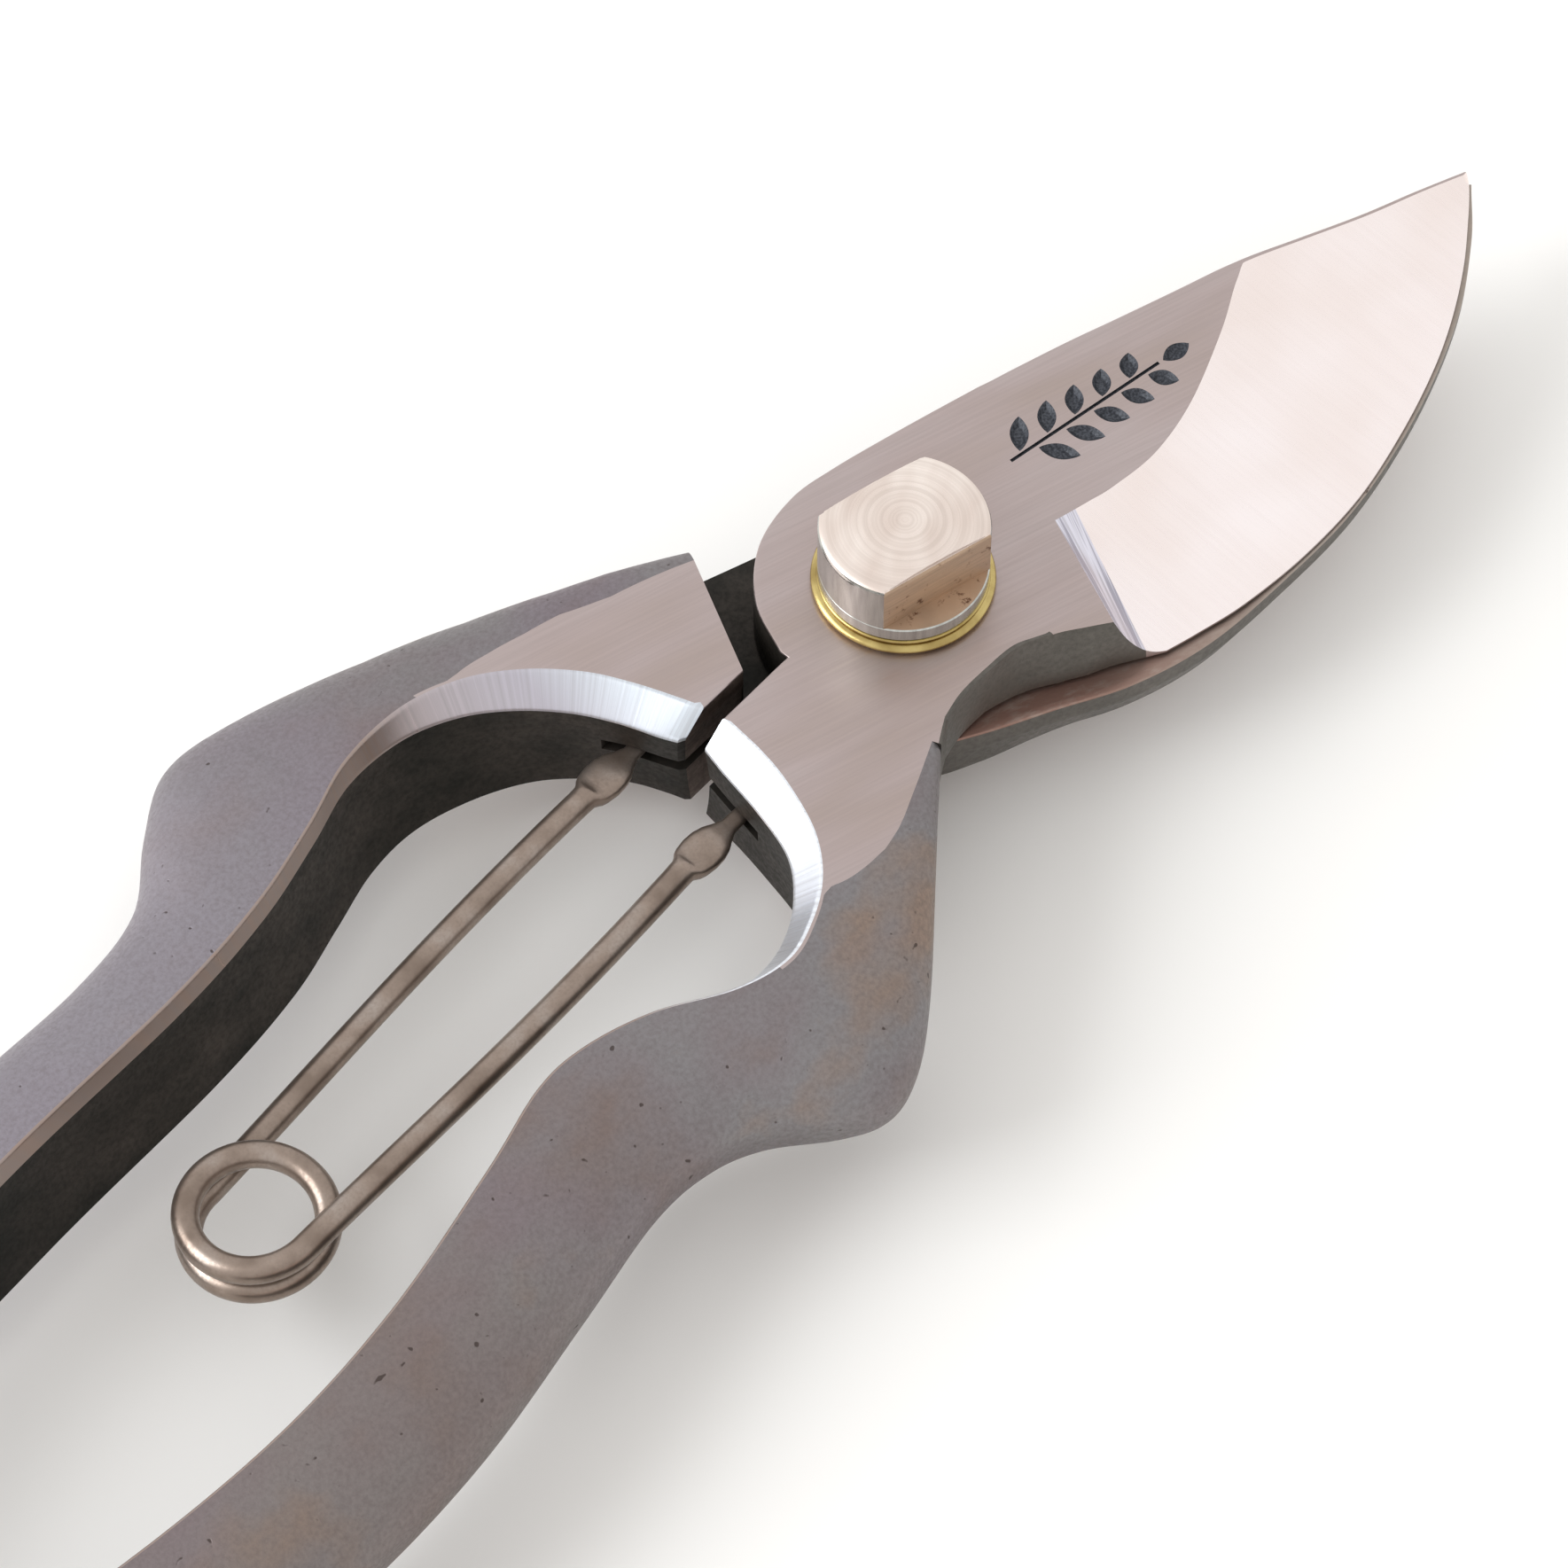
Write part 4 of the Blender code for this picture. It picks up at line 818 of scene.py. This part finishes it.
def sprig():
    """Outlines (leaf, point, xy).  A leaf runs out from the stem by its length times t, and to
    each side by its half width times sin(pi t) to the power 0.8."""
    along = (STEM_END - STEM_START) / np.linalg.norm(STEM_END - STEM_START)
    turn = np.repeat(np.radians([52.0, -52.0, 0.0]), [LEAVES, LEAVES, 1])
    spot = np.concatenate([np.linspace(0.06, 0.80, LEAVES), np.linspace(0.15, 0.89, LEAVES), [1.0]])
    length = np.concatenate([np.linspace(3.5, 2.6, LEAVES), np.linspace(3.5, 2.6, LEAVES), [2.8]])
    heading = np.stack([along[0] * np.cos(turn) - along[1] * np.sin(turn),
                        along[1] * np.cos(turn) + along[0] * np.sin(turn)], 1)
    aside = np.stack([-heading[:, 1], heading[:, 0]], 1)
    t = np.linspace(0.0, 1.0, 13)
    there = np.concatenate([t, t[-2:0:-1]])
    bulge = np.concatenate([np.sin(math.pi * t), -np.sin(math.pi * t[-2:0:-1])])
    bulge = np.sign(bulge) * np.abs(bulge) ** 0.8
    base = STEM_START + spot[:, None] * (STEM_END - STEM_START) + heading * LEAF_CLEAR
    return (base[:, None] + heading[:, None] * (length[:, None] * there)[..., None]
            + aside[:, None] * (LEAF_HALF * bulge)[None, :, None])


# %% Cut the sprig into the blade's flat
leaves = sprig()
middle = leaves.mean(1, keepdims=True)
for k, leaf in enumerate(leaves):
    low = middle[k] + (leaf - middle[k]) * FLOOR_SHARE
    ring = np.stack([np.column_stack([low, np.full(len(low), BLADE_TOP - DEPTH)]),
                     np.column_stack([leaf, np.full(len(leaf), BLADE_TOP)]),
                     np.column_stack([leaf, np.full(len(leaf), BLADE_TOP + ABOVE)])])
    carve(blade, skin("leaf", ring, [soot]))
stem_side = np.array([STEM_START[1] - STEM_END[1], STEM_END[0] - STEM_START[0]])
stem_side = stem_side / np.linalg.norm(stem_side) * STEM_HALF
stem = [STEM_START - stem_side * 0.6, STEM_END - stem_side * 0.6, STEM_END + stem_side,
        STEM_START + stem_side]
carve(blade, upright("stem", stem, BLADE_TOP - STEM_DEPTH, BLADE_TOP + ABOVE, soot))
print("sprig of", len(leaves), "leaves")

# %% Fix the halves to their bodies
for piece, body, node in ((hook, "hook_side", "hook_half"), (blade, "blade_side", "blade_half")):
    crisp(piece)
    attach(piece, body)
    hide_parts(node)

# %% [markdown]
# ## The bolt
# One turned piece: a shank, a thin round flange and a domed head with two flats milled on it for a
# spanner.  A lathe shape is a radius for each height; a flat is a limit on that radius, the
# distance to the flat divided by the cosine of the angle from it.


# %% Finishes of the bolt
def radius_of(tree, where):
    """Distance from the piece's axis."""
    flat = tree.nodes.new("ShaderNodeVectorMath")
    flat.operation = "MULTIPLY"
    flat.inputs[1].default_value = (1.0, 1.0, 0.0)
    length = tree.nodes.new("ShaderNodeVectorMath")
    length.operation = "LENGTH"
    tree.links.new(where, flat.inputs[0])
    tree.links.new(flat.outputs["Vector"], length.inputs[0])
    return length.outputs["Value"]


turned_top, tree, shader = finish("turned_top", 0.30, 0.9)
rings = noise(tree, joined(tree, radius_of(tree, place(tree)), (0.3, 0.7), 3.4), 3.0, 0.7)
patch = noise(tree, place(tree, (0.12, 0.25, 0.1), turn=(0, 0, 0.5)), 2.0)
base = shades(tree, patch, [(0.35, (0.78, 0.66, 0.59)), (0.65, (0.94, 0.84, 0.77))])
base = mixed(tree, span(tree, rings, 0.42, 0.62, 0.0, 0.28), base, (0.50, 0.42, 0.37))
coat(tree, shader, base, [(rings, 0.045)], (rings, 0.24, 0.40))

milled, tree, shader = finish("milled_flat", 0.42, 0.75)
skate = noise(tree, place(tree, (0.3, 0.3, 6.0), turn=(0, 0, math.radians(-15))), 2.0)
rust = noise(tree, place(tree, (0.9, 0.9, 0.9), centre=(3, 1, 0)), 4.0, 0.7)
base = mixed(tree, span(tree, skate, 0.3, 0.7, 0.0, 0.6), (0.56, 0.40, 0.28), (0.36, 0.27, 0.20))
base = mixed(tree, span(tree, rust, 0.60, 0.68, 0.0, 0.85), base, (0.10, 0.035, 0.015))
coat(tree, shader, base, [(skate, 0.01), (rust, 0.03)])

polished, tree, shader = finish("polished_side", 0.24, 0.95)
streak = noise(tree, place(tree, (1.5, 1.5, 0.15)), 3.0, 0.6)
base = shades(tree, streak, [(0.35, (0.44, 0.44, 0.41)), (0.6, (0.58, 0.59, 0.55))])
coat(tree, shader, base, [(streak, 0.004)])

# %% Shape of the bolt
low, high = levels("pivot_bolt")
FLANGE, HEAD = BLADE_TOP + 1.42, BLADE_TOP + 2.8
HEAD_R, FLAT, DOME, FLATS_TURN = 6.9, 4.6, 0.6, math.radians(75.0)
rim = high - DOME
corner = math.acos(FLAT / HEAD_R)
arc = np.concatenate([np.linspace(-corner, corner, 33)[:-1],
                      np.linspace(corner, math.pi - corner, 29)[:-1]])
angles = np.concatenate([arc, arc + math.pi])
limit = FLAT / np.maximum(np.abs(np.cos(angles)), 1e-6)
angles = angles + FLATS_TURN
dome_r = (HEAD_R - 0.35) * np.sqrt(np.linspace(1.0, 0.001, 22))
shank = [(2.6, low), (3.6, low + 0.12), (4.0, low + 0.5), (4.0, FLANGE), (6.8, FLANGE),
         (HEAD_R, FLANGE + 0.1), (HEAD_R, HEAD - 0.12), (HEAD_R - 0.1, HEAD)]
sides = [(HEAD_R, HEAD + 0.001), (HEAD_R, HEAD + 0.1), (HEAD_R, HEAD + 0.4), (HEAD_R, rim - 0.6),
         (HEAD_R, rim - 0.35), (HEAD_R - 0.1, rim - 0.12)]
dome = np.column_stack([dome_r, rim + DOME * (1.0 - (dome_r / HEAD_R) ** 2)])
profile = np.vstack([shank, sides, dome])
ledge, dome_foot = len(shank) - 1, len(shank) + len(sides) - 1
row = np.arange(len(profile))[:, None]
inset = np.where(row >= dome_foot, 0.08, 0.0)
radius = np.where(row > ledge, np.minimum(profile[:, :1], limit[None] - inset), profile[:, :1])
grid = np.stack([radius * np.cos(angles), radius * np.sin(angles),
                 np.repeat(profile[:, 1:], len(angles), 1)], -1)
on_flat = np.minimum(limit, np.roll(limit, -1)) < HEAD_R - 0.01
index = np.full((len(profile) - 1, len(angles)), 1)
index[ledge:dome_foot, on_flat] = 2
index[ledge] = 2
index[dome_foot:] = 0
bolt = skin("domed_bolt", grid, [turned_top, polished, milled], index)
crisp(bolt, 28.0)
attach(bolt, "hook_side")
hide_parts("pivot_bolt")

# %% [markdown]
# ## Washers and the nut
# A washer is a rounded rectangle carried round the axis.  The nut is the same idea, but its outer
# radius is the smaller of a hexagon and a cone, and that is what makes the curved corners of a
# real nut.

# %% Brass and plain steel
brass, tree, shader = finish("brass", 0.26, 0.95)
tint = noise(tree, place(tree, (0.35, 0.35, 0.35)), 3.0)
lathe = noise(tree, joined(tree, radius_of(tree, place(tree)), (0.1, 0.9), 6.0), 2.0)
base = shades(tree, tint, [(0.30, (0.33, 0.23, 0.08)), (0.62, (0.60, 0.47, 0.19))])
base = mixed(tree, span(tree, lathe, 0.4, 0.7, 0.0, 0.35), base, (0.36, 0.25, 0.05))
coat(tree, shader, base, [(lathe, 0.01)])

plain, tree, shader = finish("plain_steel", 0.34, 0.9)
haze = noise(tree, place(tree, (0.5, 0.5, 0.5)), 4.0, 0.65)
base = shades(tree, haze, [(0.3, (0.34, 0.31, 0.29)), (0.7, (0.52, 0.49, 0.46))])
coat(tree, shader, base, [(haze, 0.02)], (haze, 0.26, 0.46))


# %% Rings
def washer(name, node, inner, outer, mat, centre=(0.0, 0.0), soft=0.16,
           heights=None):
    """A rounded rectangle, which is a superellipse, carried round a circle between two heights.
    Where none are given, they are the node's."""
    low, high = heights or levels(node)
    t = np.linspace(0.0, 2 * math.pi, 24, endpoint=False)
    squared = lambda v: np.sign(v) * np.abs(v) ** (2 * soft + 0.12)
    r = 0.5 * (inner + outer) + 0.5 * (outer - inner) * squared(np.cos(t))
    z = 0.5 * (low + high) + 0.5 * (high - low) * squared(np.sin(t))
    turn = np.linspace(0.0, 2 * math.pi, 120, endpoint=False)[:, None]
    grid = np.stack([centre[0] + r * np.cos(turn), centre[1] + r * np.sin(turn), z + 0 * turn], -1)
    piece = crisp(skin(name, grid, [mat], ring=True), 50.0)
    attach(piece, "hook_side")
    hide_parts(node)
    return piece


washer("brass_ring", "brass_washer", BOLT_HOLE, 7.45, brass, soft=0.40,
       heights=(BLADE_TOP + 0.04, BLADE_TOP + 0.94))
washer("thin_ring", "head_shim", BOLT_HOLE, 7.0, brass, soft=0.25,
       heights=(BLADE_TOP + 0.98, BLADE_TOP + 1.38))
washer("under_ring", "lock_washer", BOLT_HOLE, 6.6, plain)

# %% Nut
NUT_FLAT, NUT_TURN, SIXTH = 6.3, math.radians(15.0), math.pi / 3
low, high = levels("pivot_nut")
turn = np.linspace(0.0, 2 * math.pi, 144, endpoint=False)
around = (turn + NUT_TURN) % SIXTH - SIXTH / 2
hexagon = NUT_FLAT / np.cos(around)
steps_z = np.array([low, low, low + 0.25, low + 0.55, low + 0.9,
                    high - 0.9, high - 0.55, high - 0.25, high, high])
cone = np.array([BOLT_HOLE + 0.2, 6.15, 6.58, 7.1, 7.7, 7.7, 7.1, 6.58, 6.15, BOLT_HOLE + 0.2])
outer = np.minimum(hexagon[:, None], cone[None])
inner = np.full((len(turn), 2), BOLT_HOLE)
r = np.concatenate([outer, inner], 1)
z = np.concatenate([steps_z, [high - 0.2, low + 0.2]])[None] + 0 * r
grid = np.stack([r * np.cos(turn)[:, None], r * np.sin(turn)[:, None], z], -1)
nut = crisp(skin("hex_nut", grid, [plain], ring=True), 25.0)
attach(nut, "hook_side")
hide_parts("pivot_nut")

# %% [markdown]
# ## The spring
# One wire: a thin tongue, a hammered paddle, a long leg, one and a half turns, and the same back.
# A section is carried along the wire's path.  Its width and thickness change on the way, so the
# round wire flattens into the paddle without a seam.  When the snips open, the coil must bend.

# %% Wire finish
wire, tree, shader = finish("spring_wire", 0.33, 0.85)
draw = noise(tree, place(tree, (0.25, 0.25, 0.25)), 3.0)
fine = noise(tree, place(tree, (4.0, 4.0, 4.0)), 2.0)
base = shades(tree, draw, [(0.32, (0.23, 0.175, 0.140)), (0.52, (0.33, 0.26, 0.215)),
                           (0.72, (0.40, 0.34, 0.30))])
base = mixed(tree, span(tree, fine, 0.4, 0.75, 0.0, 0.35), base, (0.22, 0.17, 0.14))
coat(tree, shader, base, [(draw, 0.05), (fine, 0.008)], (fine, 0.28, 0.42))

# %% Path of the wire
COIL = np.array([-73.6, 1.6])
COIL_R, CLIMB, LEG_BOW, BEND_REACH = 5.4, 2.25, 0.4, 3.9
SEAT_X, SEAT_SPREAD = -23.6, 5.2
seats = np.array([[SEAT_X, SEAM + SEAT_SPREAD, MATE], [SEAT_X, SEAM - SEAT_SPREAD, MATE]])


def leg_path(seat, side):
    """From the tongue's tip back to the coil: straight through the paddle, then a line with a
    slight sine bow, whose height eases from the seat to the coil."""
    ahead = np.concatenate([[2.2, 1.9, 0.6], np.linspace(-0.2, -5.6, 22)])
    flat = seat + np.column_stack([ahead, np.zeros(len(ahead)), np.zeros(len(ahead))])
    root, end = flat[-1], np.array([COIL[0], COIL[1] + side * COIL_R, MATE - side * CLIMB])
    t = np.linspace(0.0, 1.0, 60)[1:-1, None]
    ease = np.hstack([t, t, t * t * (3 - 2 * t)])
    bow = np.column_stack([0 * t, side * LEG_BOW * np.sin(math.pi * t), 0 * t])
    return np.vstack([flat, root + (end - root) * ease + bow])


turn = np.linspace(math.pi / 2, math.pi / 2 + 3 * math.pi, 130)
coil = np.column_stack([COIL[0] + COIL_R * np.cos(turn), COIL[1] + COIL_R * np.sin(turn),
                        np.linspace(MATE - CLIMB, MATE + CLIMB, len(turn))])
hook_leg, blade_leg = leg_path(seats[0], 1), leg_path(seats[1], -1)
path = np.vstack([hook_leg, coil, blade_leg[::-1]])

# %% Widths along the wire, at distances ahead of the seat
at = [-6.0, -5.6, -5.35, -5.1, -4.6, -3.6, -2.6, -1.7, -0.9, -0.2, 0.6, 1.9, 2.2]
wide = [2.2, 2.25, 2.5, 2.9, 3.3, 3.6, 3.5, 3.0, 2.1, 1.5, 1.45, 1.3, 0.8]
thick = [2.2, 2.15, 2.2, 1.75, 1.45, 1.30, 1.25, 1.15, 0.95, 0.8, 0.75, 0.7, 0.45]
ahead = path[:, 0] - SEAT_X
width, thickness = np.interp(ahead, at, wide), np.interp(ahead, at, thick)


def sweep(path, width, thickness, count):
    """A superellipse section (power 2 on round wire, 3.2 on flat) square to the path: sideways is
    across it in plan, and up is square to both."""
    along = np.gradient(path, axis=0)
    along /= np.linalg.norm(along, axis=1)[:, None]
    side = np.cross([0.0, 0.0, 1.0], along)
    side /= np.linalg.norm(side, axis=1)[:, None]
    up = np.cross(along, side)
    t = np.linspace(0.0, 2 * math.pi, count, endpoint=False)[None]
    power = 2.0 / np.interp(width / thickness, [1.0, 2.0], [2.0, 3.2])[:, None]
    c, s = (np.sign(f(t)) * np.abs(f(t)) ** power for f in (np.cos, np.sin))
    return (path[:, None] + side[:, None] * (0.5 * width[:, None] * c)[..., None]
            + up[:, None] * (0.5 * thickness[:, None] * s)[..., None])


spring = crisp(skin("spring_wire", sweep(path, width, thickness, 28), [wire]), 60.0)
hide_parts("spring_hook_leg", "spring_blade_leg")
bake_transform(spring)
print("wire", round(float(np.linalg.norm(np.diff(path, axis=0), axis=1).sum())), "mm long")

# %% [markdown]
# ## The catch
# A flat lever turns on a rivet at one tail and drops its mouth over a stud on the other.  Lever and
# rivet are stamped and turned parts, so they are an outline with softened edges and two lathe
# shapes.

# %% Outline of the lever
LEVER_W, MOUTH_R, NOSE, SNIP = 3.0, 2.1, 1.5, 0.2   # half width, mouth, metal past it, cut corners
reach = float(np.linalg.norm(STUD_PLACE - LEVER_PIVOT))


def bow(radius, count, start, sweep_angle, centre=(0.0, 0.0)):
    """An arc with both its ends."""
    t = np.linspace(start, start + sweep_angle, count)
    return np.column_stack([centre[0] + radius * np.cos(t), centre[1] + radius * np.sin(t)])


lever_line = np.vstack([
    bow(LEVER_W, 21, math.pi / 2, math.pi),
    bow(LEVER_W, 13, -math.pi / 2, math.pi / 2, (reach + NOSE, 0.0)),
    [(reach + LEVER_W + NOSE, LEVER_W - SNIP), (reach + LEVER_W + NOSE - SNIP, LEVER_W),
     (reach + MOUTH_R + SNIP, LEVER_W), (reach + MOUTH_R, LEVER_W - SNIP)],
    bow(MOUTH_R, 15, 0.0, -math.pi, (reach, 0.0)),
    [(reach - MOUTH_R, LEVER_W - SNIP), (reach - MOUTH_R - SNIP, LEVER_W)]]) * [1.0, -1.0]
parked = math.radians(12.0)
cos, sin = math.cos(parked), math.sin(parked)


def softened(line, low, high, soft):
    """The outline at four heights; the first and last are moved inwards along the line's normal."""
    step = np.roll(line, -1, 0) - np.roll(line, 1, 0)
    inward = np.column_stack([step[:, 1], -step[:, 0]]) / np.linalg.norm(step, axis=1)[:, None]
    area = 0.5 * np.sum(line[:, 0] * np.roll(line[:, 1], -1) - np.roll(line[:, 0], -1) * line[:, 1])
    inward = inward * (-soft if area > 0 else soft)
    rows = [(line + inward, low), (line, low + soft), (line, high - soft), (line + inward, high)]
    return np.stack([np.column_stack([flat, np.full(len(flat), z)]) for flat, z in rows])


low, high = levels("catch_lever")
lever_grid = softened(lever_line, low, high, 0.12)
lever_grid[..., :2] = lever_grid[..., :2] @ np.array([[cos, sin], [-sin, cos]]) + LEVER_PIVOT
lever = skin("catch_plate", lever_grid, [brushed])
carve(lever, upright("rivet_hole", circle(PIN_HOLE, 40, LEVER_PIVOT), low - 1.0, high + 1.0, scale_wall))
crisp(lever, 25.0)
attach(lever, "catch")
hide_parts("catch_lever")


# %% Rivet, washer and stud
def headed(name, node, shank, head, head_height, centre, body):
    """A lathe shape: a straight shank, then a head whose top is a quarter ellipse."""
    low, high = levels(node)
    t = np.linspace(0.0, math.pi / 2 - 0.02, 12)
    under = high - head_height
    dome = np.column_stack([head * np.cos(t), under + 0.1 + (head_height - 0.1) * np.sin(t)])
    profile = np.vstack([[(0.3, low), (shank, low + 0.2), (shank, under), (head - 0.08, under)], dome])
    turn = np.linspace(0.0, 2 * math.pi, 64, endpoint=False)
    grid = np.stack([centre[0] + profile[:, :1] * np.cos(turn),
                     centre[1] + profile[:, :1] * np.sin(turn), profile[:, 1:] + 0 * turn], -1)
    piece = crisp(skin(name, grid, [plain]), 35.0)
    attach(piece, body)
    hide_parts(node)


headed("catch_pin", "catch_rivet", 1.5, 2.9, 1.0, LEVER_PIVOT, "hook_side")
headed("catch_post", "catch_stud", 1.5, 2.6, 1.0, STUD_PLACE, "blade_side")
washer("catch_ring", "catch_washer", 1.8, 2.9, plain, centre=LEVER_PIVOT)

# %% [markdown]
# ## Floor and light
# The snips lie on white card in a bright room.  A pale world light does most of it, and one large
# soft window from the upper left gives the bevels their shine and the shadow its side.

# %% Floor and light
floor_mesh = bpy.data.meshes.new("floor")
CARD, CARD_Z = 1.5, -0.0001
corners = [(-CARD, -CARD, CARD_Z), (CARD, -CARD, CARD_Z), (CARD, CARD, CARD_Z), (-CARD, CARD, CARD_Z)]
floor_mesh.from_pydata(corners, [], [(0, 1, 2, 3)])
floor = bpy.data.objects.new("floor", floor_mesh)
bpy.context.collection.objects.link(floor)
paper, tree, shader = finish("paper", 0.7, 0.0)
shader.inputs["Base Color"].default_value = (0.88, 0.86, 0.83, 1.0)
floor_mesh.materials.append(paper)
world = bpy.data.worlds.new("studio")
bpy.context.scene.world = world
world.use_nodes = True
world.node_tree.nodes["Background"].inputs["Color"].default_value = (1.0, 1.0, 1.0, 1.0)
world.node_tree.nodes["Background"].inputs["Strength"].default_value = 0.96


def softbox(name, toward, distance, size, watts, colour):
    """A square area light that faces the bolt."""
    light = bpy.data.objects.new(name, bpy.data.lights.new(name, "AREA"))
    bpy.context.collection.objects.link(light)
    direction = Vector(toward).normalized()
    light.location = direction * distance
    light.rotation_euler = direction.to_track_quat("Z", "Y").to_euler()
    light.data.shape, light.data.size = "SQUARE", size
    light.data.energy, light.data.color = watts, colour


softbox("window", (-0.75, 0.62, 0.62), 0.9, 0.6, 6.5, (0.93, 0.965, 1.0))
bpy.context.scene.view_settings.view_transform = "Standard"
